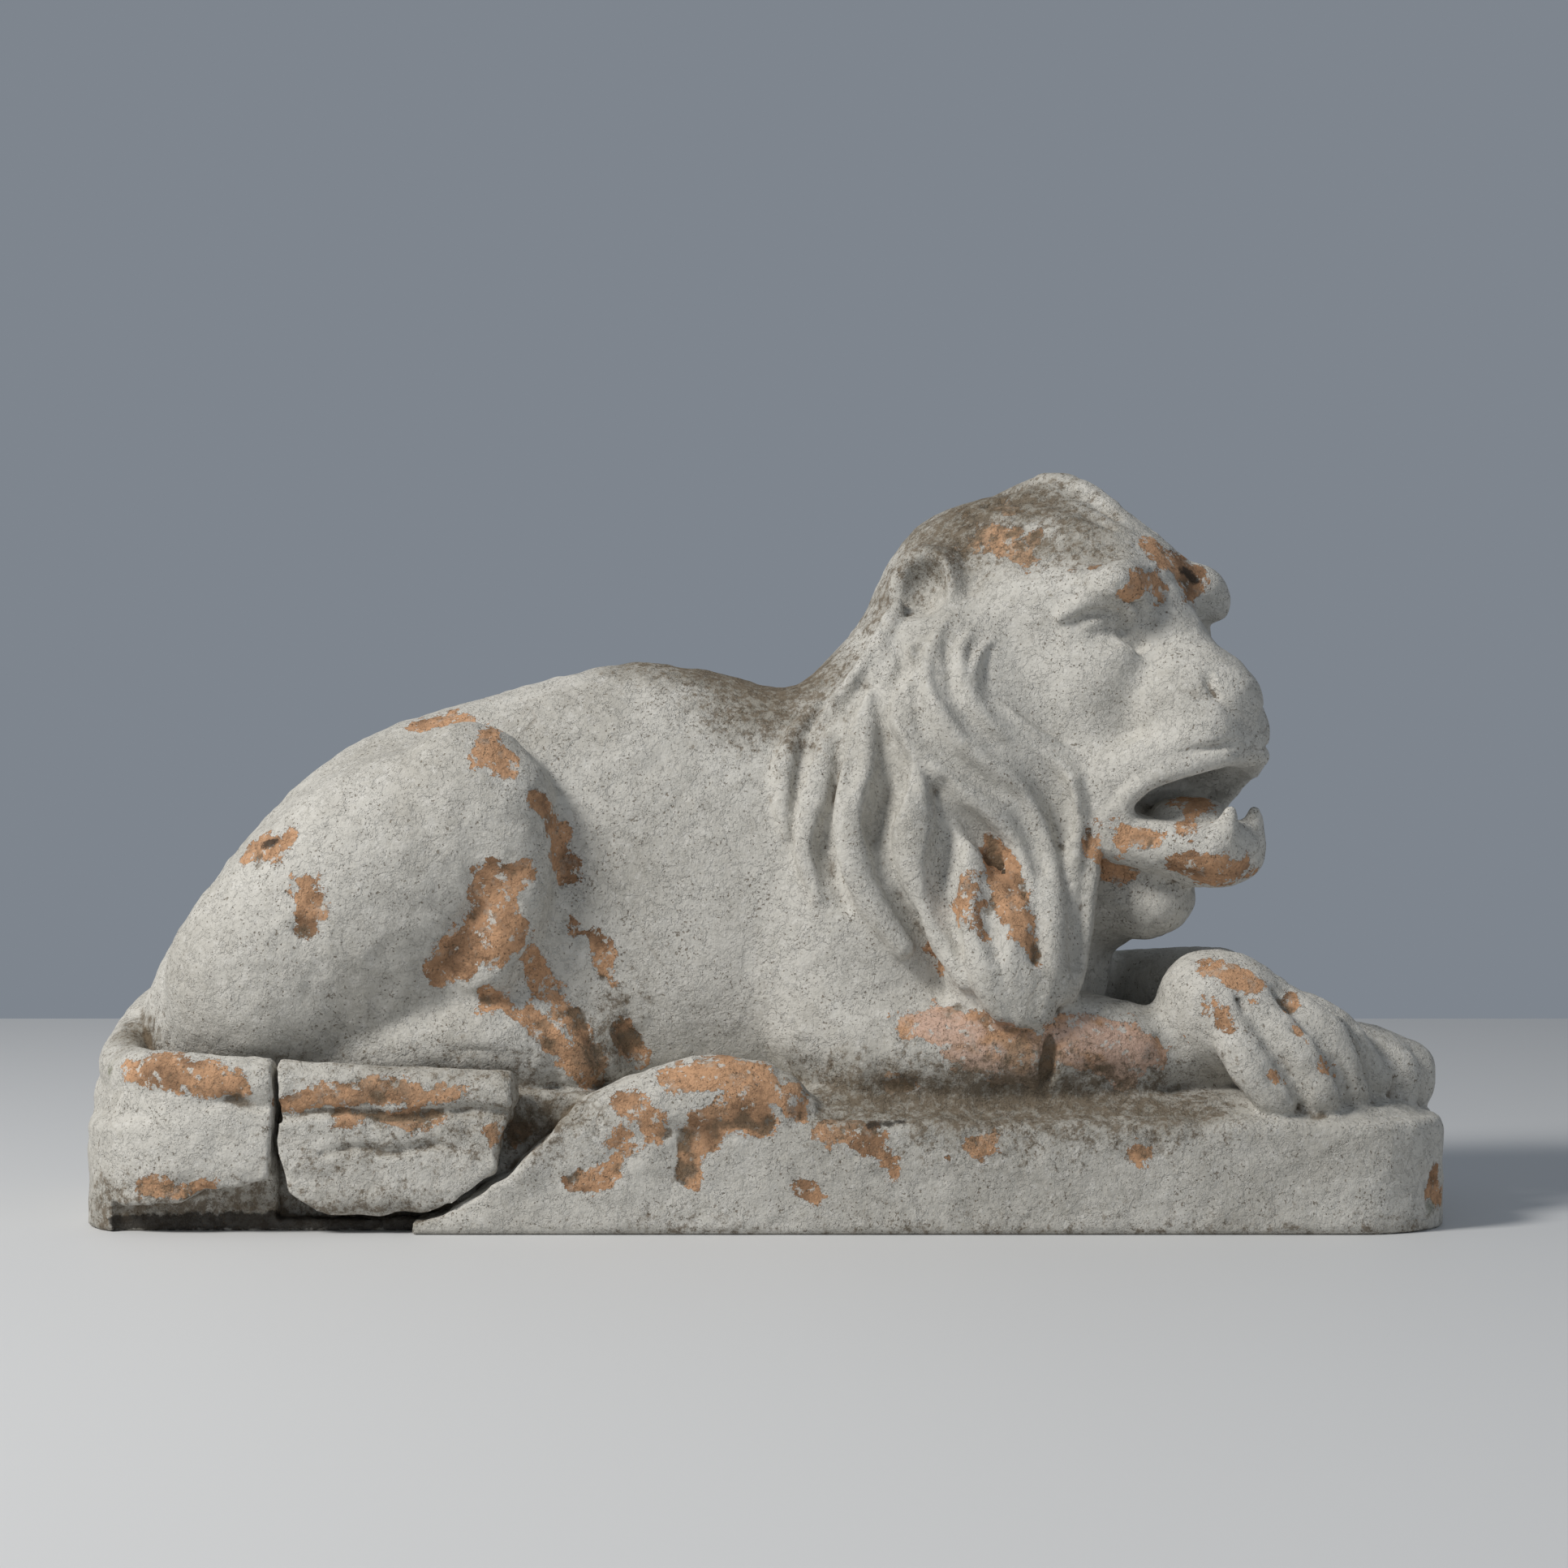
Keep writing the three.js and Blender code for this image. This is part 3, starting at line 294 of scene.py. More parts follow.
def prism(outline, near, far, rough=0.0):
    """Everything behind an outline of (x, height) points, between two values of y: the distance
    to the nearest side, less than 0 where a ray crosses the outline an odd number of times.
    A rough prism is looked up at places that a broken surface has shifted."""
    p = np.array(outline, float)
    low = np.array([p[:, 0].min(), near, p[:, 1].min()])
    high = np.array([p[:, 0].max(), far, p[:, 1].max()])

    def at(x, y, z):
        if rough:
            x, y, z = np.broadcast_arrays(x, y, z)
            spots = np.stack([x, y, z], -1)
            x = x + rough * lumps(spots, 21) + 0.6 * rough * lumps(spots + 90, 8)
            z = z + rough * lumps(spots + 40, 21) + 0.6 * rough * lumps(spots + 130, 8)
        best, inside = np.inf, False
        for a, b in zip(p, np.roll(p, -1, axis=0)):
            e = b - a
            t = np.clip(((x - a[0]) * e[0] + (z - a[1]) * e[1]) / (e @ e), 0, 1)
            away = (x - a[0] - t * e[0]) ** 2 + (z - a[1] - t * e[1]) ** 2
            best = np.minimum(best, away)
            spans = (a[1] > z) != (b[1] > z)
            rise = e[1] if e[1] else 1e-9
            inside = inside ^ (spans & (x < a[0] + (z - a[1]) / rise * e[0]))
        across = np.sqrt(best) * np.where(inside, -1, 1)
        return np.maximum(across, np.maximum(near - y, y - far))

    return [(low, high, at)]


# %% Lumpiness: random numbers on a lattice
LATTICE = (DICE.random((32, 32, 32)) * 2 - 1).astype(np.float32)


def lumps(spots, size):
    """Random numbers from -1 to 1 on a lattice of that size, joined by smooth steps."""
    q = np.asarray(spots, np.float32) / size
    i = np.floor(q).astype(int)
    f = q - i
    f = f * f * (3 - 2 * f)
    total = 0
    for corner in range(8):
        bits = np.array([corner & 1, (corner >> 1) & 1, corner >> 2])
        weight = np.where(bits, f, 1 - f).prod(-1)
        j = (i + bits) & 31
        total = total + weight * LATTICE[j[..., 0], j[..., 1], j[..., 2]]
    return total


print("a roll is", len(roll([(0, 0, 0, 9), (40, 0, 9, 7), (80, 6, 0, 4)])), "round cones")

# %% [markdown]
# ## The plinth and its ground
#
# The lion lies on a slab with rounded ends, whose ground swells a little towards the body. The
# real slab was pressed into a frame with the rest, so it is clay too. These are the same
# numbers as the CAD model's, so the skin lies where the solid's does.

# %% Sizes shared with the CAD model
PLINTH_LENGTH, PLINTH_DEPTH, PLINTH_HEIGHT = 1034, 360, 84
PLINTH_CORNER, PLINTH_EDGE = 78, 8
GROUND_RISE, GROUND_INSET = 17, 32
HEAD_TURN = 45
TAIL_RADIUS, TAIL_TOP = 20, 129
BREAK_DEPTH, UNDERCUT = 45, 24
FIGURE_HEIGHT = 510
HALF_X, HALF_Y = PLINTH_LENGTH / 2, PLINTH_DEPTH / 2
FRONT = -HALF_Y
SIDES = (-1, 1)


# %% Press the plinth
def plinth(clay):
    """The slab, and on it two flatter ones, each smaller and higher, as the ground's swell."""
    slab_low, slab_high = (-HALF_X, FRONT, -12), (HALF_X, HALF_Y, PLINTH_HEIGHT)
    clay.add(slab(slab_low, slab_high, PLINTH_CORNER, PLINTH_EDGE), 4)
    for step in (0.5, 1):
        x, y = HALF_X - step * GROUND_INSET, HALF_Y - step * GROUND_INSET
        top = PLINTH_HEIGHT + step * GROUND_RISE
        clay.add(slab((-x, -y, 30), (x, y, top), PLINTH_CORNER, GROUND_RISE), 14)


# %% [markdown]
# ## The body
#
# A barrel carries the back, with the hollow behind the shoulders. The thighs, the folded hind
# feet, the chest and the crossed forelegs are lumps and rolls on it. Their heights are told
# from the plinth's edge, which is how one would model them.

# %% Helpers that lift the figure onto the plinth
def lift(p):
    return (p[0], p[1], p[2] + PLINTH_HEIGHT)


def lump(middle, radii, turn=(0, 0, 0)):
    return ball(lift(middle), radii, turn)


def rope(points, steps=12):
    return roll([(*lift(p), p[3]) for p in points], steps)


# %% Trunk
BACK = [
    (-492, 80, 40), (-470, 126, 82), (-440, 168, 106), (-400, 220, 124), (-350, 266, 132),
    (-300, 296, 132), (-250, 313, 126), (-200, 327, 116), (-150, 340, 110), (-110, 347, 108),
    (-60, 343, 108), (0, 329, 110), (50, 326, 116), (100, 330, 120), (160, 300, 116),
    (220, 230, 96), (262, 120, 60),
]


def trunk(clay):
    """A barrel whose bottom lies inside the plinth."""
    under = PLINTH_HEIGHT - 20
    clay.add(barrel([(x, PLINTH_HEIGHT + h, under, w) for x, h, w in BACK]), 12)


print("trunk:", len(BACK), "stations")


# %% Hind leg, folded
def hind_leg(clay, side):
    """Thigh, rump, knee, shin, foot and two toes. The left leg's y is told, and the side turns it
    over."""
    def y(v):
        return -v * side

    clay.add(lump((-306, y(98), 168), (150, 58, 86), (0, -36, 0)), 26)
    clay.add(lump((-386, y(92), 100), (74, 58, 76)), 20)
    clay.add(lump((-226, y(112), 230), (58, 42, 68)), 14)
    shin = [(-200, y(116), 236, 34), (-190, y(120), 190, 28), (-192, y(118), 150, 24),
            (-212, y(110), 110, 26)]
    clay.add(rope(shin), 16)
    foot = [(-345, y(90), 34, 32), (-275, y(94), 48, 38), (-212, y(96), 55, 42),
            (-184, y(95), 46, 38)]
    clay.add(rope(foot), 7)
    clay.add(rope([(-184, y(100), 84, 16), (-158, y(104), 62, 20), (-146, y(104), 36, 21)], 8), 6)
    clay.add(rope([(-158, y(88), 88, 14), (-134, y(90), 64, 18), (-124, y(90), 36, 18)], 8), 6)


# %% Neck, chest and shoulders
def neck_and_chest(clay):
    neck = [(75, 0, 225, 92), (125, 8, 305, 86), (168, 16, 362, 84), (205, 10, 392, 82)]
    clay.add(rope(neck), 24)
    clay.add(lump((166, 22, 400), (74, 82, 72), (0, -16, 0)), 20)
    clay.add(lump((200, 0, 150), (76, 98, 140), (0, 6, 0)), 24)
    for side in SIDES:
        clay.add(lump((138, side * 72, 240), (102, 56, 160), (0, 12, 0)), 20)
        clay.add(lump((186, side * 88, 140), (58, 40, 74), (0, 10, 0)), 14)


# %% Forelegs, the left paw laid over the right
def forelegs(clay):
    clay.add(lump((72, -92, 124), (66, 38, 108), (0, 14, 0)), 20)
    clay.add(lump((74, -104, 58), (60, 36, 48)), 20)
    clay.add(rope([(84, -112, 46, 38), (150, -120, 48, 42), (225, -118, 53, 42),
                   (268, -112, 48, 38)]), 16)
    clay.add(rope([(268, -106, 46, 36), (340, -88, 44, 34), (420, -74, 36, 32)], 8), 8)
    clay.add(lump((452, -66, 34), (54, 36, 32)), 10)
    for x, y in ((482, -90), (498, -68), (490, -44)):
        clay.add(lump((x, y, 24), (22, 14, 28)), 4)
    clay.add(lump((90, 98, 120), (76, 40, 110), (0, 14, 0)), 20)
    over = [(70, 118, 50, 42), (170, 110, 56, 42), (250, 62, 70, 40), (310, 0, 84, 37),
            (348, -58, 88, 36)]
    clay.add(rope(over), 12)
    clay.add(lump((352, -112, 78), (56, 48, 44), (0, 24, -24)), 14)
    toes = [
        [(346, -146, 74, 17), (362, -160, 44, 18), (382, -160, 18, 17)],
        [(366, -138, 82, 18), (396, -152, 54, 20), (416, -154, 20, 18)],
        [(386, -120, 86, 18), (422, -132, 60, 20), (442, -132, 22, 18)],
        [(396, -98, 82, 17), (434, -108, 60, 19), (460, -106, 26, 18)],
    ]
    for toe in toes:
        clay.add(rope(toe, 8), 4)
    clefts = [
        [(350, -150, 92, 2), (362, -160, 80, 4), (381, -171, 52, 5), (400, -172, 20, 5)],
        [(372, -134, 100, 2), (390, -148, 86, 4), (412, -159, 60, 5), (431, -159, 22, 5)],
        [(388, -110, 102, 2), (410, -126, 88, 4), (434, -136, 62, 5), (455, -135, 24, 5)],
    ]
    for cleft in clefts:
        clay.cut(rope(cleft, 10), 5)


# %% [markdown]
# ## The head
#
# The head is turned 45 degrees to the lion's right, so its forms are told in its own frame:
# the first number goes out of the nose, the second to the lion's left, and the third up from
# the line of the eyes. Mirroring a feature is then a change of one sign.

# %% The head's frame
HEAD_ORIGIN = np.array(lift((242, -25, 361)), float)
HEAD_AXES = rotation((0, 0, -HEAD_TURN))
print("the head's origin:", HEAD_ORIGIN, "turned by", HEAD_TURN, "degrees")


def head_ball(middle, radii, turn=(0, 0, 0)):
    return ball(HEAD_ORIGIN + HEAD_AXES @ np.array(middle, float), radii, turn, HEAD_AXES)


def head_rope(points, steps=12):
    p = np.array(points, float)
    return roll(np.hstack([HEAD_ORIGIN + p[:, :3] @ HEAD_AXES.T, p[:, 3:]]), steps)


# %% Skull, cheeks, muzzle, jaw and the open mouth
def face(clay):
    clay.add(head_ball((-22, 0, 42), (98, 84, 80), (0, 12, 0)), 20)
    clay.add(head_ball((44, 0, 58), (56, 58, 36), (0, 26, 0)), 20)
    for s in SIDES:
        brow = [(82, s * 30, 42, 15), (91, s * 53, 41, 18), (64, s * 63, 36, 12),
                (34, s * 70, 32, 6)]
        clay.add(head_rope(brow, 8), 24)
        clay.add(head_ball((28, s * 50, 22), (58, 36, 34), (0, 0, -s * 34)), 22)
    for s in SIDES:
        clay.add(head_ball((26, s * 42, -30), (66, 44, 74), (0, -12, 0)), 20)
        clay.add(head_ball((60, s * 46, -18), (42, 28, 36)), 14)
        clay.add(head_ball((52, s * 38, -100), (44, 34, 52)), 18)
    clay.add(head_rope([(64, 0, 40, 34), (108, 0, -16, 28), (142, 0, -44, 28)], 8), 14)
    clay.add(head_ball((114, 0, -50), (58, 50, 46), (0, 14, 0)), 14)
    clay.add(head_ball((152, 0, -49), (24, 30, 23)), 6)
    for s in SIDES:
        lip = [(80, s * 50, -104, 22), (118, s * 42, -90, 18), (146, s * 28, -82, 18),
               (158, s * 12, -82, 17)]
        clay.add(head_rope(lip, 8), 10)
        clay.add(head_ball((136, s * 20, -70), (36, 26, 26)), 8)
    clay.add(head_rope([(50, 0, -142, 48), (106, 0, -157, 32), (144, 0, -159, 29)], 8), 14)
    clay.add(head_ball((34, 0, -185), (50, 56, 50)), 20)
    for s in SIDES:
        jaw = [(66, s * 46, -128, 30), (90, s * 40, -150, 24), (120, s * 30, -155, 20),
               (150, s * 16, -159, 21)]
        clay.add(head_rope(jaw, 8), 12)
    clay.cut(head_ball((164, 0, -117), (84, 90, 20), (0, -7, 0)), 5)
    for s in SIDES:
        fold = [(166, s * 22, -90, 6), (142, s * 42, -99, 7), (118, s * 56, -109, 7),
                (100, s * 58, -124, 7), (98, s * 54, -138, 7)]
        clay.add(head_rope(fold, 10), 7)


# %% Ears: a cup with a thick rim
def ears(clay):
    for s in SIDES:
        root = head_ball((-68, s * 84, 28), (34, 26, 44), (0, 0, s * 20))
        cup = head_ball((-60, s * 100, 38), (36, 26, 38), (0, 0, s * 30))
        hole = head_ball((-48, s * 126, 44), (25, 21, 26), (0, 0, s * 45))
        clay.add(root, 20)
        clay.add(cup, 9)
        clay.cut(hole, 9)
        rim = [(-38, 86, 14), (-48, 98, 8), (-62, 110, 10), (-76, 118, 24), (-80, 120, 42),
               (-74, 116, 60), (-60, 106, 69), (-44, 94, 66)]
        clay.add(head_rope([(f, s * l, z, 6) for f, l, z in rim], 18), 8)


# %% [markdown]
# ## The mane
#
# The locks fall from the ear and the nape in long S-curves. Each is a roll of clay laid on the
# neck. Its line is known from the side, and its depth comes from the clay underneath, so the
# same function that presses lumps also finds the skin that the next roll lies on.

# %% Lines of the locks, (x, height, radius) down each as seen from the side
LOCKS = [
    [(176, 366, 1), (164, 350, 4), (160, 332, 8), (166, 312, 11), (181, 297, 12), (205, 281, 12),
     (228, 265, 12), (239, 243, 13), (242, 212, 13), (238, 172, 15), (232, 128, 14),
     (226, 96, 11)],
    [(160, 374, 1), (149, 354, 5), (146, 334, 9), (153, 312, 12), (168, 293, 12), (191, 275, 12),
     (210, 258, 12), (222, 236, 12), (228, 206, 12), (224, 172, 12), (222, 132, 12),
     (218, 96, 12)],
    [(140, 380, 1), (129, 358, 6), (126, 334, 11), (130, 316, 14), (137, 300, 15), (154, 278, 15),
     (175, 261, 15), (194, 243, 15), (207, 217, 14), (212, 188, 13), (214, 150, 14),
     (210, 104, 14), (204, 78, 12)],
    [(110, 356, 3), (112, 322, 9), (117, 292, 11), (129, 268, 13), (151, 246, 13), (172, 229, 13),
     (186, 211, 12), (193, 186, 12), (196, 156, 12), (196, 112, 13), (192, 80, 12)],
    [(136, 238, 5), (146, 206, 14), (155, 174, 18), (161, 140, 17), (168, 104, 15),
     (178, 82, 12)],
    [(172, 186, 5), (178, 160, 11), (182, 130, 12), (184, 98, 12), (190, 80, 10)],
    [(100, 322, 4), (104, 290, 11), (108, 258, 15), (112, 223, 19), (116, 190, 17),
     (124, 158, 14), (138, 128, 12), (152, 104, 10)],
    [(78, 322, 4), (76, 290, 12), (72, 258, 15), (66, 223, 16), (66, 190, 15), (82, 158, 12),
     (104, 128, 9)],
    [(58, 326, 3), (48, 290, 10), (42, 258, 12), (36, 228, 12), (32, 198, 10), (40, 164, 6)],
    [(102, 392, 5), (90, 358, 11), (72, 330, 11), (52, 304, 8), (34, 284, 4)],
    [(40, 312, 4), (24, 290, 8), (14, 262, 9), (12, 234, 7), (16, 210, 4)],
]

# Grooves pressed between and along the locks with the edge of a tool
GROOVES = [
    [(172, 352, 1), (167, 338, 3), (171, 323, 5), (179, 309, 5), (189, 297, 5), (203, 286, 5),
     (220, 280, 5), (234, 271, 5), (243, 254, 5), (246, 233, 6), (245, 214, 6), (243, 185, 6),
     (238, 150, 5), (234, 118, 4)],
    [(144, 352, 1), (140, 337, 3), (141, 321, 5), (151, 304, 5), (165, 290, 5), (179, 281, 5),
     (194, 271, 5), (208, 254, 5), (217, 238, 5), (223, 219, 4), (224, 206, 2)],
    [(113, 326, 2), (114, 304, 4), (122, 283, 4), (137, 271, 4), (156, 259, 4), (175, 247, 4),
     (189, 238, 4), (198, 223, 4), (205, 204, 4), (210, 185, 2)],
    [(139, 233, 3), (151, 223, 5), (165, 211, 5), (177, 202, 4), (189, 190, 3), (196, 168, 2)],
    [(133, 249, 3), (139, 233, 6), (139, 214, 7), (134, 190, 7), (134, 157, 5), (146, 128, 3)],
    [(92, 288, 3), (96, 266, 7), (91, 242, 8), (84, 219, 6), (82, 209, 3)],
    [(66, 286, 3), (64, 266, 5), (62, 249, 3)],
    [(45, 226, 2), (45, 204, 5), (51, 183, 5), (58, 162, 4), (62, 155, 2)],
    [(84, 352, 2), (76, 333, 3), (60, 311, 4), (38, 294, 4), (30, 276, 4), (29, 252, 2)],
    [(189, 281, 2), (203, 271, 3), (217, 257, 4), (226, 233, 4), (229, 214, 2)],
    [(167, 180, 2), (168, 160, 6), (170, 140, 6), (172, 124, 2)],
    [(101, 352, 2), (104, 340, 5), (99, 328, 3)],
    [(130, 356, 2), (130, 335, 3), (134, 321, 2)],
    [(108, 270, 2), (111, 256, 3), (112, 246, 2)],
    [(62, 320, 2), (46, 306, 3), (34, 290, 3)],
    [(200, 180, 2), (203, 150, 4), (204, 120, 3)],
    [(100, 168, 2), (112, 148, 4), (124, 128, 3)],
]

print("locks on each side:", len(LOCKS), "and grooves:", len(GROOVES))


# %% Lay the locks and press the grooves
def on_skin(clay, path, side, share):
    """The roll along a path of (x, height, radius). Its middle is a share of its radius out of
    the skin, or in it for a share less than 0, and its depth is evened out along it."""
    x, h, r = np.array(path, float).T
    z = h + PLINTH_HEIGHT
    y = clay.skin(x, z, side)
    padded = np.concatenate([y[:1], y, y[-1:]])
    y = (padded[:-2] + 2 * y + padded[2:]) / 4 + side * share * r
    return roll(np.stack([x, y, z, r], 1), 20)


def mane(clay):
    """A lump over each forearm, the locks over the neck, and a crest with partings on the head."""
    for side in SIDES:
        clay.add(lump((186, side * 128, 114), (50, 36, 52)), 9)
    laid = [on_skin(clay, path, side, 0.3) for side in SIDES for path in LOCKS]
    for form in laid:
        clay.add(form, 3)
    crest = [(-70, 0, 96, 26), (-20, 0, 113, 24), (26, 0, 100, 18), (58, 0, 76, 12)]
    clay.add(head_rope(crest, 10), 8)
    for s in SIDES:
        parting = [(-60, s * 20, 114, 3), (-20, s * 20, 131, 5), (20, s * 15, 117, 5),
                   (52, s * 10, 91, 3)]
        clay.cut(head_rope(parting, 10), 6)
        beside = [(-50, s * 46, 106, 3), (-10, s * 42, 116, 4), (30, s * 34, 104, 4),
                  (60, s * 24, 82, 2)]
        clay.cut(head_rope(beside, 10), 8)


def grooves(clay):
    """A wide soft trough along each line, and a thin sharp cut along its bottom."""
    wide = [[(x, h, 1.9 * r) for x, h, r in path] for path in GROOVES]
    thin = [[(x, h, 0.5 * r + 0.8) for x, h, r in path] for path in GROOVES]
    soft = [on_skin(clay, path, side, 0.6) for side in SIDES for path in wide]
    sharp = [on_skin(clay, path, side, -0.8) for side in SIDES for path in thin]
    for form in soft:
        clay.cut(form, 6)
    for form in sharp:
        clay.cut(form, 2.5)


# %% [markdown]
# ## Features of the face
#
# Eyes, nostrils, lips and teeth are pressed on last and left sharp, as they are on the real
# head. An eye is a hollow, then a ball, then two thin rolls of clay for its lids.

# %% A tooth, a nostril and the crease of the lip
def tooth(clay, s):
    clay.add(head_rope([(163, s * 16, -146, 10), (165, s * 16, -139, 8), (166, s * 15, -131, 5)],
                       4), 5)


def nostril(clay, s):
    """The slit, and the crease that runs from it round the nose to the lip."""
    clay.cut(head_rope([(154, s * 27, -29, 3.5), (157, s * 27, -38, 3), (160, s * 26, -44, 2)], 6),
             3)
    wing = [(153, s * 30, -29, 2), (162, s * 28, -44, 2.5), (170, s * 21, -54, 2.5),
            (178, s * 7, -63, 2)]
    clay.cut(head_rope(wing, 10), 4)


def lip_crease(clay, s):
    line = [(176, s * 16, -80, 1), (167, s * 28, -81, 1.5), (146, s * 50, -88, 1.5),
            (124, s * 64, -95, 1)]
    clay.cut(head_rope(line, 10), 6)


# %% An eye
def eye(clay, s):
    """A hollow, a ball in it, two lids, the fold over them, the shade under the upper lid, a worn
    pupil, and the trough below the inner corner."""
    clay.cut(head_ball((89, s * 66, 12), (18, 30, 17), (0, 0, s * 33)), 10)
    clay.add(head_ball((66, s * 53, 13), (17, 21, 14), (0, 0, s * 33)), 4)
    upper = [(90, s * 34, 12, 4), (91, s * 45, 25, 6), (84, s * 58, 31, 7), (71, s * 72, 27, 6),
             (56, s * 82, 16, 4)]
    clay.add(head_rope(upper, 12), 4)
    lower = [(87, s * 36, 4, 3.5), (83, s * 50, -2, 4), (72, s * 63, -3, 4), (58, s * 75, 5, 3.5)]
    clay.add(head_rope(lower, 10), 5)
    clay.cut(head_rope([(96, s * 38, 27, 2), (93, s * 50, 32, 3), (84, s * 62, 34, 2)], 10), 4)
    shade = [(95, s * 37, 12, 2.5), (92, s * 47, 17, 4), (84, s * 59, 20, 4.5), (72, s * 71, 17, 3)]
    clay.cut(head_rope(shade, 10), 3)
    clay.cut(head_ball((92, s * 44, 6), (11, 8, 9)), 4)
    clay.cut(head_ball((85, s * 56, 9), (6, 6, 5)), 3)
    clay.cut(head_rope([(95, s * 36, -2, 4), (93, s * 44, -14, 4), (90, s * 52, -24, 2)], 8), 8)


# %% The beard, in two tiers below the chin
def beard(clay):
    clay.add(head_ball((52, 0, -168), (52, 44, 30), (0, 6, 0)), 8)
    clay.add(head_ball((66, 0, -193), (48, 38, 36), (0, 8, 0)), 5)
    for s in SIDES:
        split = [(112, s * 12, -184, 2), (104, s * 30, -190, 3), (86, s * 42, -194, 3),
                 (60, s * 46, -200, 2)]
        clay.cut(head_rope(split, 10), 8)


# %% All the features
def face_features(clay):
    tongue = head_ball((118, 0, -136), (34, 30, 17), (0, 4, 0))
    clay.add(tongue, 5)
    for s in SIDES:
        tooth(clay, s)
        nostril(clay, s)
        lip_crease(clay, s)
        eye(clay, s)
    clay.cut(head_rope([(181, 0, -66, 4), (180, 0, -82, 4), (178, 0, -98, 4)], 6), 4)
    # The left eye's lid is heavier than the right's
    clay.add(head_rope([(90, 42, 30, 9), (94, 58, 28, 12), (84, 72, 26, 9)], 8), 8)
    clay.add(head_ball((76, 54, 3), (15, 15, 16)), 10)
    beard(clay)


# %% [markdown]
# ## The tail and its break
#
# The tail comes round the rump, lies along the plinth's front and ends in a tuft. Below it a
# band of clay fills the space down to the floor. One length has broken off with its band: the
# outline of the broken length and of the hole it left are measured from the front, and a
# rough prism cuts both, so that the edges are torn and not sawn.

# %% The line of the tail, with the band of clay under it
FRAGMENT = [
    (-362, 88), (-363, 72), (-358, 49), (-355, 31), (-341, 22), (-328, 15), (-274, 14), (-257, 17),
    (-232, 24), (-214, 37), (-201, 46), (-200, 58), (-196, 72), (-188, 97), (-190, TAIL_TOP + 10),
    (-362, TAIL_TOP + 10),
]
RECESS = [
    (-367, 9), (-268, 9), (-256, 12), (-229, 19), (-210, 32), (-196, 41), (-162, 72), (-144, 91),
    (-135, 106), (-135, TAIL_TOP + 6), (-367, TAIL_TOP + 6),
]
# The hollow under the first length of tail, down to the floor
UNDER = [
    (-487, -50), (-262, -50), (-262, 30), (-371, 41), (-386, 36), (-410, 35), (-432, 25),
    (-460, 20), (-487, 24),
]


def tail_line():
    left, front, top = TAIL_RADIUS - HALF_X, FRONT + TAIL_RADIUS, TAIL_TOP - TAIL_RADIUS
    line = [
        (left + 48, 70, top + 66), (left + 20, 44, top + 50), (left + 6, 8, top + 38),
        (left + 1, -30, top + 24), (left + 1, front + 90, top + 12),
        (left + 14, front + 44, top + 6), (left + 42, front + 12, top + 6),
        (left + 80, front, top + 4), (-370, front, top), (-300, front, top - 4),
        (-180, front, top - 9),
    ]
    return [(*p, TAIL_RADIUS) for p in line]


def band(clay, low):
    line = tail_line()[3:]
    wall = [(x, y + 4, z - TAIL_RADIUS - 4, 24) for x, y, z, r in line]
    clay.add(roll(wall, 16), 8)
    clay.add(roll([(x, y - 1, z - 26, r) for x, y, z, r in wall], 16), 10)
    clay.add(roll([(x, y - 1, low, r) for x, y, z, r in wall], 16), 10)
    clay.add(roll(tail_line(), 26), 4)


def tuft(clay):
    y = FRONT + 26
    main = [(-176, y, 48, 16), (-140, y, 72, 24), (-100, y, 86, 29), (-45, y, 98, 34),
            (2, y, 94, 30), (36, y, 82, 13)]
    clay.add(roll(main), 5)
    low = [(-170, y, 30, 14), (-120, y - 2, 44, 22), (-84, y - 3, 60, 24), (-60, y - 2, 84, 20)]
    clay.add(roll(low), 5)
    curl = [(-66, y - 4, 52, 12), (-48, y - 6, 72, 20), (-14, y - 4, 88, 20)]
    clay.add(roll(curl, 8), 4)


# %% Model the lion on its plinth
def lion_on_plinth():
    """Everything soft is pressed on first and smoothed, then what is sharp, then the breaks."""
    pad = 3 * CELL
    high = (HALF_X + pad, HALF_Y + pad, PLINTH_HEIGHT + FIGURE_HEIGHT + pad)
    clay = Clay((-HALF_X - pad, FRONT - pad, -pad), high, CELL)
    plinth(clay)
    trunk(clay)
    for side in SIDES:
        hind_leg(clay, side)
    neck_and_chest(clay)
    forelegs(clay)
    face(clay)
    ears(clay)
    mane(clay)
    clay.soften(SOFTENING)
    grooves(clay)
    forearm_crack = on_skin(clay, [(214, 62, 3), (212, 40, 5), (210, 16, 5)], -1, 0.1)
    clay.cut(forearm_crack, 2)
    face_features(clay)
    band(clay, 46)
    tuft(clay)
    crack = [(-482, -168, 95, 2), (-462, -175, 99, 3), (-430, -179, 95, 4), (-398, -179, 99, 4),
             (-372, -179, 95, 4)]
    clay.cut(roll(crack), 3)
    clay.cut(prism(UNDER, FRONT - 60, FRONT + UNDERCUT, 2), 2)
    clay.cut(prism(RECESS, FRONT - 60, FRONT + BREAK_DEPTH, 2.5), 2)
    below_the_floor = slab((-900, -900, -200), (900, 900, 0), 0, 0)
    clay.cut(below_the_floor, 0.5)
    return clay


lion_clay = lion_on_plinth()
print("lion:", lion_clay.d.size, "samples")


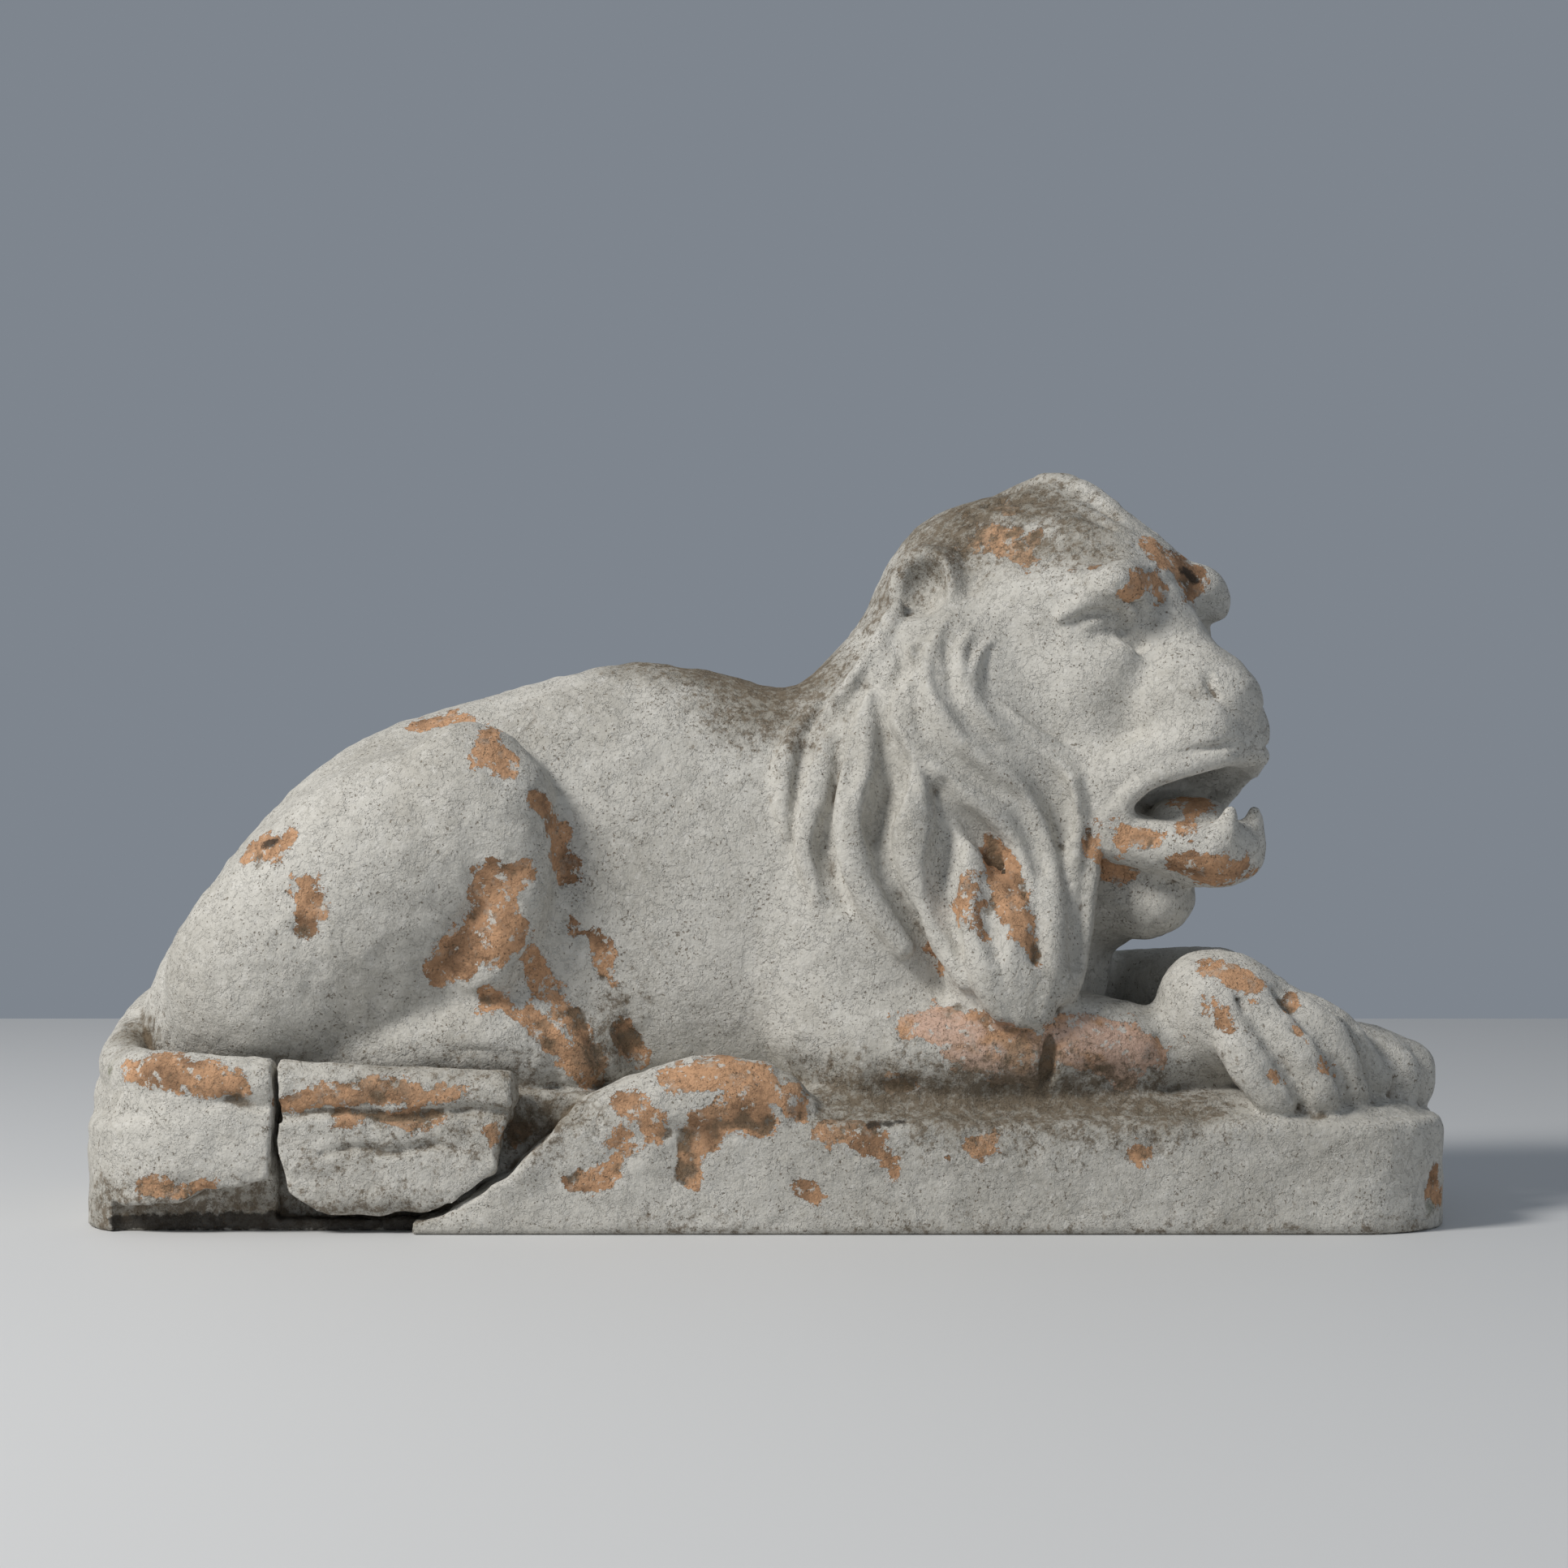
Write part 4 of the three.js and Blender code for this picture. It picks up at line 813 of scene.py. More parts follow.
# %% Model the broken length of tail
def broken_tail_length():
    """The same tail and band, cracked, and only what lies inside the outline kept."""
    pad = 3 * CELL
    clay = Clay((-420, FRONT - pad, -10), (-130, FRONT + 70, 160), CELL)
    band(clay, 30)
    long_crack = [(-358, -178, 88, 4), (-318, -178, 93, 4), (-270, -178, 87, 4),
                  (-226, -178, 93, 4), (-186, -178, 90, 4)]
    short_crack = [(-330, -180, 60, 2), (-300, -179, 65, 3), (-278, -179, 61, 4),
                   (-244, -179, 67, 3), (-226, -180, 63, 2)]
    clay.cut(roll(long_crack), 3)
    clay.cut(roll(short_crack), 2)
    clay.keep(prism(FRAGMENT, FRONT - 60, FRONT + BREAK_DEPTH - 1.5, 2.0))
    return clay


tail_clay = broken_tail_length()
print("broken length:", tail_clay.d.size, "samples")

# %% [markdown]
# ## From distances to a skin
#
# Wherever the distances change sign between two samples, the skin passes. Each small cube of
# eight samples that it passes through gets one point, at the mean of the places where its
# edges are crossed, and each crossed edge gets one face between the four cubes around it.
# This is known as surface nets, and it gives a smooth closed mesh.

# %% Surface nets on whole arrays
def net(clay):
    """Points and triangles of the skin, as arrays."""
    d = clay.d
    for axis in range(3):
        layer = np.moveaxis(d, axis, 0)
        layer[[0, -1]] = np.maximum(layer[[0, -1]], clay.cell / 2)
    solid = d < 0
    n = np.array(d.shape) - 1
    corners = [(i, j, k) for i in (0, 1) for j in (0, 1) for k in (0, 1)]

    def at(field, c):
        return field[c[0]:c[0] + n[0], c[1]:c[1] + n[1], c[2]:c[2] + n[2]]

    count = sum(at(solid, c).astype(np.int8) for c in corners)
    mixed = (count > 0) & (count < 8)
    cube = np.full(n, -1, np.int64)
    where = np.argwhere(mixed)
    cube[mixed] = np.arange(len(where))
    total, hits = np.zeros((len(where), 3)), np.zeros((len(where), 1))
    for axis in range(3):
        for c in (c for c in corners if c[axis] == 0):
            e = list(c)
            e[axis] = 1
            a, b = at(d, c)[mixed], at(d, e)[mixed]
            crossed = (a < 0) != (b < 0)
            t = a[crossed] / (a[crossed] - b[crossed])
            spot = np.tile(np.array(c, float), (len(t), 1))
            spot[:, axis] = t
            total[crossed] += spot
            hits[crossed] += 1
    points = clay.low + (where + total / hits) * clay.cell
    faces = []
    for axis in range(3):
        u, v = (axis + 1) % 3, (axis + 2) % 3
        here = [slice(None)] * 3
        there = [slice(None)] * 3
        here[axis], there[axis] = slice(0, -1), slice(1, None)
        a, b = solid[tuple(here)], solid[tuple(there)]
        for goes_out in (True, False):
            spots = np.argwhere((a & ~b) if goes_out else (~a & b))
            ring = []
            for du, dv in ((0, 0), (-1, 0), (-1, -1), (0, -1)):
                s = spots.copy()
                s[:, u] += du
                s[:, v] += dv
                ring.append(cube[s[:, 0], s[:, 1], s[:, 2]])
            if not goes_out:
                ring.reverse()
            faces += [np.stack([ring[0], ring[1], ring[2]], 1),
                      np.stack([ring[0], ring[2], ring[3]], 1)]
    return points, np.vstack(faces)


lion_points, lion_faces = net(lion_clay)
tail_points, tail_faces = net(tail_clay)
print("skin:", len(lion_faces), "and", len(tail_faces), "triangles")


# %% Into Blender, in metres
def mesh_object(name, points, faces):
    mesh = bpy.data.meshes.new(name)
    mesh.vertices.add(len(points))
    mesh.vertices.foreach_set("co", (points / 1000).astype(np.float32).ravel())
    mesh.loops.add(faces.size)
    mesh.loops.foreach_set("vertex_index", faces.astype(np.int32).ravel())
    mesh.polygons.add(len(faces))
    mesh.polygons.foreach_set("loop_start", np.arange(len(faces), dtype=np.int32) * 3)
    mesh.update(calc_edges=True)
    mesh.validate()
    made = bpy.data.objects.new(name, mesh)
    bpy.context.scene.collection.objects.link(made)
    return made


def arrays(made, field):
    out = np.empty(len(made.data.vertices) * 3, np.float32)
    if field == "normal":
        made.data.vertex_normals.foreach_get("vector", out)
    else:
        made.data.vertices.foreach_get(field, out)
    return out.reshape(-1, 3).astype(float)


# %% [markdown]
# ## Weather
#
# Old clay is nowhere smooth: thumbs left it lumpy and frost has pitted it. The skin is moved
# along its normals by random lumps of several sizes. Where the limewash is gone the surface
# lies about a millimetre lower. Each loss is a stroke of points (x, y, z, radius) on the skin.

# %% Where the limewash is gone
LOSSES = {
    "nape": [
        [(150, -66, 520, 4), (172, -70, 524, 5), (196, -66, 530, 5)],
        [(238, -96, 494, 3), (250, -100, 492, 5)],
    ],
    "crown": [
        [(157, -31, 545, 5), (160, -37, 543, 4)],
        [(188, -41, 554, 5), (194, -49, 551, 3)],
        [(170, -58, 531, 3), (180, -70, 523, 6), (192, -81, 514, 6), (200, -87, 507, 4)],
        [(209, -80, 529, 3), (199, -80, 522, 3)],
    ],
    "brow": [
        [(274, -143, 479, 5), (285, -135, 491, 7), (299, -112, 486, 6), (301, -112, 476, 3)],
        [(292, -93, 518, 4), (308, -92, 507, 8), (326, -79, 498, 9), (333, -78, 488, 6),
         (328, -87, 477, 3)],
    ],
    "jaw": [
        [(312, -149, 274, 7), (327, -152, 269, 10), (345, -156, 271, 9), (361, -146, 273, 5)],
        [(265, -136, 307, 2), (270, -139, 297, 3), (282, -144, 292, 4), (298, -149, 296, 3)],
        [(317, -125, 319, 5), (327, -133, 317, 7)],
        [(319, -148, 305, 5), (314, -151, 301, 3)],
        [(244, -130, 296, 2), (249, -124, 280, 5), (263, -96, 271, 6), (278, -110, 269, 4)],
    ],
    "mane": [
        [(172, -125, 285, 6), (180, -132, 264, 14), (186, -135, 241, 14), (191, -137, 219, 11),
         (197, -136, 201, 9), (205, -131, 186, 7)],
        [(157, -142, 258, 6), (153, -142, 241, 9), (160, -141, 225, 7), (165, -140, 213, 4)],
        [(132, -134, 211, 2), (137, -134, 201, 4), (141, -133, 191, 2)],
    ],
    "forearm": [
        [(109, -148, 152, 8), (126, -146, 156, 12), (144, -156, 147, 17), (162, -161, 139, 20),
         (185, -161, 131, 22), (200, -158, 126, 16)],
        [(224, -159, 141, 16), (244, -157, 140, 22), (265, -151, 135, 20), (288, -146, 131, 13),
         (267, -147, 114, 9)],
    ],
    "paw": [
        [(333, -141, 193, 4), (344, -142, 196, 6), (357, -148, 190, 6), (369, -151, 181, 4)],
        [(334, -156, 168, 5), (340, -163, 158, 6)],
        [(398, -166, 151, 2), (399, -166, 150, 2)],
        [(420, -167, 123, 3), (421, -167, 121, 3)],
        [(379, -176, 120, 3), (380, -176, 118, 3)],
        [(394, -144, 170, 3), (396, -144, 168, 3)],
    ],
    "haunch": [
        [(-393, -116, 283, 5), (-377, -127, 288, 9), (-363, -133, 293, 6)],
        [(-344, -152, 252, 9), (-338, -154, 240, 9), (-348, -153, 228, 5)],
        [(-274, -46, 382, 3), (-253, -50, 386, 4), (-229, -65, 382, 4), (-209, -128, 373, 3)],
        [(-209, -143, 356, 9), (-197, -144, 347, 7)],
    ],
    "knee": [
        [(-180, -145, 267, 5), (-207, -143, 258, 15), (-199, -142, 242, 15),
         (-217, -135, 221, 16), (-234, -132, 204, 15), (-253, -131, 190, 8)],
        [(-190, -140, 226, 12), (-205, -135, 206, 10)],
        [(-211, -127, 174, 6), (-198, -124, 169, 4)],
    ],
    "flank": [
        [(-172, -137, 326, 3), (-162, -121, 308, 4), (-157, -110, 285, 5), (-150, -109, 263, 4)],
        [(-178, -122, 204, 6), (-168, -111, 183, 7), (-158, -118, 161, 6)],
        [(-148, -117, 155, 6), (-138, -118, 136, 7), (-127, -113, 122, 4)],
        [(-178, -122, 162, 5), (-160, -120, 138, 8), (-142, -118, 120, 8), (-128, -116, 110, 6)],
        [(-147, -110, 227, 3), (-127, -109, 215, 4), (-122, -108, 190, 4)],
        [(-109, -99, 146, 5), (-96, -92, 127, 5)],
    ],
    "tail": [
        [(-473, -159, 119, 6), (-451, -169, 123, 12), (-419, -179, 118, 10),
         (-393, -180, 109, 5)],
        [(-357, -178, 97, 4), (-327, -180, 104, 5), (-297, -180, 106, 7), (-267, -179, 107, 7),
         (-229, -180, 104, 4)],
        [(-315, -179, 88, 4), (-285, -179, 86, 3), (-243, -178, 89, 3)],
        [(-466, -175, 36, 3), (-441, -180, 33, 3), (-411, -182, 34, 2)],
    ],
    "tuft": [
        [(-74, -175, 116, 5), (-53, -176, 120, 10), (-32, -170, 122, 11), (-8, -176, 114, 12),
         (14, -176, 103, 10), (27, -175, 90, 6)],
        [(-2, -183, 88, 11), (-26, -185, 91, 14), (-45, -182, 79, 11), (-52, -180, 62, 10),
         (-56, -180, 43, 6)],
        [(-104, -179, 100, 6), (-89, -184, 91, 7), (-79, -183, 79, 4)],
        [(-137, -180, 39, 7), (-119, -181, 46, 6), (-103, -181, 62, 4)],
        [(-110, -180, 68, 4), (-104, -181, 75, 3)],
    ],
    "plinth": [
        [(42, -179, 78, 4), (62, -180, 75, 8), (83, -180, 68, 9), (92, -180, 51, 5)],
        [(24, -180, 35, 4), (39, -180, 31, 3)],
        [(154, -180, 68, 4), (168, -180, 71, 4)],
        [(274, -180, 61, 4), (290, -180, 63, 3)],
        [(502, -147, 38, 4), (505, -143, 23, 5)],
        [(96, -148, 107, 5), (108, -150, 108, 4)],
        [(-186, -135, 72, 5), (-207, -180, 75, 2)],
    ],
}

print("strokes of lost limewash:", sum(len(strokes) for strokes in LOSSES.values()))

# %% Stains, painted shade, and where the clay was left smoothest
# Lichen and rain dirt, soot in old paint scars, chips, and moss in wet gaps, and painted shade in the
# hollow under the tail and in the folds by the legs
STAINS_AND_SHADE = {
    "crown": [
        [(140, -20, 520, 40), (180, -30, 556, 34), (215, -45, 552, 30), (250, -70, 530, 20)],
        [(90, 0, 460, 24), (120, -40, 510, 24)],
        [(200, -80, 520, 16), (240, -90, 510, 16), (270, -100, 505, 8)],
    ],
    "saddle": [
        [(-110, 0, 430, 16), (-60, -10, 426, 30), (0, -10, 412, 44), (60, 0, 414, 30)],
        [(-30, -70, 395, 24), (20, -80, 385, 28)],
    ],
    "ground": [
        [(60, -145, 100, 30), (200, -150, 100, 40), (330, -165, 96, 24)],
        # This stroke darkens the plinth's front towards the floor
        [(-120, -178, 0, 4), (200, -180, 0, 2), (505, -170, 0, 6)],
    ],
    "rump": [
        [(-480, -60, 140, 22), (-470, -90, 120, 14)],
        [(-440, -120, 112, 10), (-300, -140, 112, 12), (-180, -130, 108, 18)],
    ],
    # Painted shade: the hollow under the tail, darkened
    "under": [
        [(-490, -150, 16, 24), (-262, -156, 18, 20)],
        [(-360, -140, 60, 16), (-150, -140, 80, 26)],
    ],
    # Painted shade: the folds in front of the hind foot and at the elbow, darkened
    "folds": [
        [(-130, -100, 130, 20), (-110, -110, 170, 12)],
        [(60, -140, 110, 16), (20, -130, 116, 12)],
    ],
    "soot_and_shade": [
        # Painted shade: the back of the hollow under the tail, darkened almost to black
        [(-485, -158, 6, 9), (-370, -158, 8, 11), (-262, -158, 6, 9)],
        [(-391, -120, 287, 5), (-377, -127, 290, 7), (-366, -132, 293, 4)],
        [(322, -84, 500, 8), (334, -80, 492, 7)],
        [(75, -178, 80, 6), (100, -176, 84, 5), (120, -172, 90, 3)],
    ],
    "chipped": [
        [(150, -30, 545, 40), (190, -60, 530, 40)],
        [(340, -140, 185, 26), (400, -160, 150, 30), (430, -150, 110, 20)],
        [(-140, -182, 60, 30), (0, -182, 95, 30)],
        [(-480, -170, 110, 20), (-200, -180, 100, 16)],
        [(-170, -120, 190, 30), (-110, -110, 140, 26)],
        [(60, -180, 60, 30), (180, -180, 60, 20)],
    ],
    "moss": [
        [(-495, -130, 118, 8), (-480, -120, 112, 8)],
        [(500, -150, 18, 9), (512, -100, 14, 8)],
    ],
}
# The cheek, the muzzle, the mane and the flank are calm
CALM = {
    "face": [
        [(270, -120, 400, 40), (320, -130, 380, 40), (330, -140, 300, 30)],
    ],
    "mane": [
        [(150, -120, 430, 50), (180, -130, 300, 60), (180, -140, 200, 50)],
        [(90, -120, 360, 40), (100, -130, 240, 50)],
    ],
    "flank": [
        [(-120, -110, 260, 60), (0, -120, 250, 50)],
    ],
}


def reach_of(spots, strokes, feather):
    """How deep each spot lies in any of the strokes: 0.5 on a stroke's edge, 1 well inside and
    0 outside, over twice the feather. Depth counts for less than width and height, because the
    strokes were read off the front view."""
    deepest = np.full(len(spots), -1e3)
    flat = np.array([1, 0.45, 1])
    for stroke in strokes:
        p = np.array(stroke, float)
        for a, b in zip(p[:-1], p[1:]):
            near = (np.abs(spots - (a[:3] + b[:3]) / 2) < np.abs(a - b)[:3] / 2 + 60).all(1)
            q, way = (spots[near] - a[:3]) * flat, (b[:3] - a[:3]) * flat
            t = np.clip(q @ way / max(way @ way, 1e-6), 0, 1)
            inside = a[3] + t * (b[3] - a[3]) - np.linalg.norm(q - t[:, None] * way, axis=1)
            deepest[near] = np.maximum(deepest[near], inside)
    return np.clip(0.5 + deepest / (2 * feather), 0, 1)


def sampled(clay, field, spots):
    """A field's value at any spots, weighed between the eight samples around each."""
    q = (spots - clay.low) / clay.cell
    i = np.clip(np.floor(q).astype(int), 0, np.array(field.shape) - 2)
    f = np.clip(q - i, 0, 1)
    total = 0
    for corner in range(8):
        bits = np.array([corner & 1, (corner >> 1) & 1, corner >> 2])
        weight = np.where(bits, f, 1 - f).prod(1)
        total = total + weight * field[tuple((i + bits).T)]
    return total


def hollow(clay, spots, width):
    """How far a spot lies in a hollow: the mean distance around it, turned over, in widths.
    The mean over a box is a difference of running sums along each axis."""
    mean = np.clip(clay.d, -width, width).astype(np.float64)
    k = max(1, round(width / clay.cell))
    for axis in range(3):
        m = np.moveaxis(mean, axis, 0)
        sums = np.cumsum(np.pad(m, ((k + 1, k), (0, 0), (0, 0)), mode="edge"), axis=0)
        m[:] = (sums[2 * k + 1:] - sums[:-2 * k - 1]) / (2 * k + 1)
    return -sampled(clay, mean, spots) / width


# %% Strokes of a table, and a smooth step
def steps(value, low, high):
    t = np.clip((value - low) / (high - low), 0, 1)
    return t * t * (3 - 2 * t)


def near_strokes(spots, table, names, feather, grown=0):
    """How deep each spot lies in the named strokes of a table, their radii grown."""
    strokes = [
        [(x, y, z, r + grown) for x, y, z, r in stroke]
        for name in names for stroke in table[name]
    ]
    return reach_of(spots, strokes, feather)


# %% How far the skin rises and sinks, in millimetres
LUMP_SIZES = [(1.0, 0, 36), (1.1, 50, 17), (0.8, 70, 8)]
CALM_SHARE = 0.65
PAINT_LOSS = 1.2
FLOOR_FADE = (0.5, 8)


def relief(spots):
    """Lumps of three sizes, less of them where the clay is calm, and a step down where the
    limewash is gone. All of it fades out towards the floor, so that the plinth stands flat."""
    rise = sum(height * lumps(spots + shift, size) for height, shift, size in LUMP_SIZES)
    rise *= 1 - CALM_SHARE * near_strokes(spots, CALM, CALM, 20)
    lost = near_strokes(spots, LOSSES, LOSSES, 8, 3)
    rise -= PAINT_LOSS * steps(lost + 0.35 * lumps(spots, 11) + 0.15 * lumps(spots, 5), 0.40, 0.60)
    return rise * steps(spots[:, 2], *FLOOR_FADE)


# %% Move a skin and thin it
CAD_LOW, CAD_HIGH = (np.array(corner) * 1000 for corner in CAD_BOX)


def move(made, spots):
    """Puts the points at new places, none of them outside the CAD model's box."""
    spots = np.clip(spots, CAD_LOW, CAD_HIGH)
    made.data.vertices.foreach_set("co", (spots / 1000).astype(np.float32).ravel())
    made.data.update()
    return spots


def thin(made, limit):
    """Joins the flattest triangles until only the limit is left."""
    count = len(made.data.polygons)
    if count <= limit:
        return
    decimate = made.modifiers.new("thin", "DECIMATE")
    decimate.ratio = limit / count
    graph = bpy.context.evaluated_depsgraph_get()
    name, thinned = made.name, bpy.data.meshes.new_from_object(made.evaluated_get(graph))
    made.modifiers.clear()
    made.data = thinned
    made.data.name = name


# %% Masks for the finish, as attributes of the points
# Grime, and painted shade in the hollow under the tail and in the folds
GRIME_AND_SHADE_STROKES = ["crown", "saddle", "ground", "rump", "under", "folds"]


def masks_of(clay, spots, out):
    return {
        "bare": near_strokes(spots, LOSSES, LOSSES, 12, 3),
        "pink": near_strokes(spots, LOSSES, ["forearm"], 10, 4),
        # grime, with painted shade under the tail and in the folds
        "grime_and_shade": near_strokes(spots, STAINS_AND_SHADE, GRIME_AND_SHADE_STROKES, 34),
        # soot, with painted shade at the back of the hollow under the tail
        "soot_and_shade": near_strokes(spots, STAINS_AND_SHADE, ["soot_and_shade"], 9),
        "moss": near_strokes(spots, STAINS_AND_SHADE, ["moss"], 16),
        "chipped": near_strokes(spots, STAINS_AND_SHADE, ["chipped"], 34),
        # crevice and recess say how deep a spot lies in a hollow; the finish paints shade by them
        "crevice": np.clip(0.5 + 1.4 * hollow(clay, spots, 6), 0, 1),
        "recess": np.clip(0.5 + 1.2 * hollow(clay, spots, 22), 0, 1),
        "upward": np.clip(out[:, 2], 0, 1),
    }


def weathered(name, clay, points, faces, limit):
    made = mesh_object(name, points, faces)
    spots = arrays(made, "co") * 1000
    move(made, spots + arrays(made, "normal") * relief(spots)[:, None])
    thin(made, limit)
    made.data.polygons.foreach_set("use_smooth", np.ones(len(made.data.polygons), bool))
    spots = move(made, arrays(made, "co") * 1000)
    for label, values in masks_of(clay, spots, arrays(made, "normal")).items():
        attribute = made.data.attributes.new(label, "FLOAT", "POINT")
        attribute.data.foreach_set("value", values.astype(np.float32))
    print(name, len(made.data.polygons), "triangles")
    return made


LION_TRIANGLES, TAIL_TRIANGLES = 196000, 30000
lion = weathered("lion", lion_clay, lion_points, lion_faces, LION_TRIANGLES)
tail = weathered("broken_tail", tail_clay, tail_points, tail_faces, TAIL_TRIANGLES)

# %% [markdown]
# ## Limewash, bare clay, dirt and painted shade
#
# All of the finish is worked out from Object coordinates and from the masks stored on the skin,
# so it stays where it is from every side. The masks say roughly where the limewash is lost.
# Noise with much fine detail then tears their edges, because paint flakes along cracks and not
# along smooth lines. Three effects are node groups: torn edges, speckle and hairline cracks.

# %% A short way to add nodes
class Tree:
    """Adds nodes to a tree and joins them: a value that is a socket is linked, any other is set."""

    def __init__(self, tree):
        self.tree = tree

    def node(self, kind, out=0, settings=None, **inputs):
        made = self.tree.nodes.new(kind)
        for name, value in (settings or {}).items():
            setattr(made, name, value)
        for name, value in inputs.items():
            key = int(name[1:]) if name[0] == "i" and name[1:].isdigit() else name.replace("_", " ")
            if isinstance(value, bpy.types.NodeSocket):
                self.tree.links.new(value, made.inputs[key])
            else:
                made.inputs[key].default_value = value
        return made.outputs[out]

    def math(self, how, a, b=0.0, c=0.0):
        return self.node("ShaderNodeMath", settings={"operation": how}, i0=a, i1=b, i2=c)

    def noise(self, place, scale, detail=3.0, rough=0.55):
        return self.node("ShaderNodeTexNoise", Vector=place, Scale=scale, Detail=detail,
                         Roughness=rough)

    def steps(self, value, low, high, to_low=0.0, to_high=1.0):
        return self.node("ShaderNodeMapRange", settings={"interpolation_type": "SMOOTHSTEP"},
                         Value=value, From_Min=low, From_Max=high, To_Min=to_low, To_Max=to_high)

    def attribute(self, name):
        return self.node("ShaderNodeAttribute", out="Fac", settings={"attribute_name": name})

    def spread(self, place, scale, low, high, most=1.0, detail=4, rough=0.65):
        """Noise as a mask: 0 where the noise is low and the most where it is high."""
        return self.steps(self.noise(place, scale, detail, rough), low, high, 0.0, most)

    def mix(self, share, a, b):
        made = self.tree.nodes.new("ShaderNodeMix")
        made.data_type = "RGBA"
        for key, value in ((0, share), (6, a), (7, b)):
            if isinstance(value, bpy.types.NodeSocket):
                self.tree.links.new(value, made.inputs[key])
            elif key == 0:
                made.inputs[key].default_value = value
            else:
                made.inputs[key].default_value = (*value, 1)
        return made.outputs[2]


def group(name, inputs, outputs):
    """An empty node group with named sockets, and the node tree helper for it."""
    made = bpy.data.node_groups.new(name, "ShaderNodeTree")
    for label, kind, value in inputs:
        socket = made.interface.new_socket(label, in_out="INPUT", socket_type=kind)
        if value is not None:
            socket.default_value = value
    for label, kind in outputs:
        made.interface.new_socket(label, in_out="OUTPUT", socket_type=kind)
    tree = Tree(made)
    return made, tree, made.nodes.new("NodeGroupInput"), made.nodes.new("NodeGroupOutput")


FLOAT, PLACE = "NodeSocketFloat", "NodeSocketVector"


# %% Torn edges: a smooth mask, shifted by noise and cut sharp
def torn_edges():
    """Inside is 1 where the mask and a share of noise pass a half, and Rim marks the strip just
    outside that line."""
    made, t, given, put = group(
        "torn_edges",
        [("Place", PLACE, None), ("Mask", FLOAT, 0.0), ("Raggedness", FLOAT, 0.5)],
        [("Inside", FLOAT), ("Rim", FLOAT)],
    )
    place, mask, ragged = given.outputs[:3]
    wide = t.math("SUBTRACT", t.noise(place, 46, 6, 0.72), 0.5)
    shifted = t.math("MULTIPLY_ADD", wide, ragged, mask)
    t.tree.links.new(t.steps(shifted, 0.49, 0.51), put.inputs["Inside"])
    rim = t.math("MULTIPLY", t.steps(shifted, 0.40, 0.49), t.steps(shifted, 0.51, 0.495))
    t.tree.links.new(rim, put.inputs["Rim"])
    return made


TORN = torn_edges()


# %% Speckle: small dark specks, thicker where a second noise is high
def speckle():
    """Fine noise cut at a limit, which falls where a broad noise rises."""
    made, t, given, put = group(
        "speckle",
        [("Place", PLACE, None), ("Scale", FLOAT, 500.0), ("Amount", FLOAT, 0.5)],
        [("Specks", FLOAT)],
    )
    place, scale, amount = given.outputs[:3]
    specks = t.noise(place, scale, 2, 0.5)
    clumps = t.noise(place, 34, 3, 0.6)
    limit = t.math("MULTIPLY_ADD", t.math("MULTIPLY", clumps, amount), -0.34, 0.80)
    over = t.math("SUBTRACT", specks, limit)
    t.tree.links.new(t.steps(over, 0.0, 0.05), put.inputs["Specks"])
    return made


SPECKLE = speckle()


# %% Hairline cracks: the borders of a cell pattern, bent by noise
def hairlines():
    """A line where the distance to a cell's edge is almost 0, kept only where a third noise is high."""
    made, t, given, put = group(
        "hairlines",
        [("Place", PLACE, None), ("Scale", FLOAT, 20.0), ("Share", FLOAT, 0.5)],
        [("Cracks", FLOAT)],
    )
    place, scale, share = given.outputs[:3]
    bend = t.node("ShaderNodeTexNoise", out=1, Vector=place, Scale=28.0, Detail=4.0)
    bent = t.node("ShaderNodeVectorMath", settings={"operation": "MULTIPLY_ADD"}, i0=bend,
                  i1=(0.03, 0.03, 0.03), i2=place)
    cells = t.node("ShaderNodeTexVoronoi", settings={"feature": "DISTANCE_TO_EDGE"}, Vector=bent,
                   Scale=scale)
    line = t.steps(cells, 0.022, 0.004)
    some = t.steps(t.noise(place, 9, 2, 0.5),
                   t.math("SUBTRACT", 0.80, t.math("MULTIPLY", share, 0.4)), 0.85)
    t.tree.links.new(t.math("MULTIPLY", line, some), put.inputs["Cracks"])
    return made


HAIRLINES = hairlines()


def use(t, made, out, **inputs):
    """Places a node group in a tree with its own values."""
    node = t.tree.nodes.new("ShaderNodeGroup")
    node.node_tree = made
    for name, value in inputs.items():
        if isinstance(value, bpy.types.NodeSocket):
            t.tree.links.new(value, node.inputs[name])
        else:
            node.inputs[name].default_value = value
    return [node.outputs[name] for name in out]


print("groups:", [g.name for g in bpy.data.node_groups])

# %% [markdown]
# ### The painted terracotta
#
# Bare clay is orange, browned and dusty in places and pink where it broke last. Limewash is a
# broken white, greyer in patches, lighter at its lifted rims with a painted highlight. Over both lie
# brown dirt and painted shade in the hollows, painted shade under the tail and in the folds, and grey
# lichen on whatever faces up. The paint's thickness, its crumbs and its pits go to a bump.

# %% Colours, and where the limewash is gone
# LIME_PALE_AND_HIGHLIGHT is a paler limewash and also the painted highlight on the lifted rims
LIME_LIGHT, LIME_GREY, LIME_PALE_AND_HIGHLIGHT = (0.56, 0.54, 0.49), (0.37, 0.35, 0.305), (0.67, 0.65, 0.605)
CLAY_ORANGE, CLAY_BROWN, CLAY_PINK = (0.54, 0.315, 0.18), (0.24, 0.14, 0.08), (0.58, 0.40, 0.31)
# DIRT_AND_SHADE is the colour of dirt and also of painted shade in the hollows, under the tail and in
# the folds
# LICHEN_AND_SHADE is the colour of lichen and also of painted shade under the tail and in the folds
DIRT_AND_SHADE, LICHEN_AND_SHADE = (0.14, 0.105, 0.068), (0.20, 0.178, 0.138)
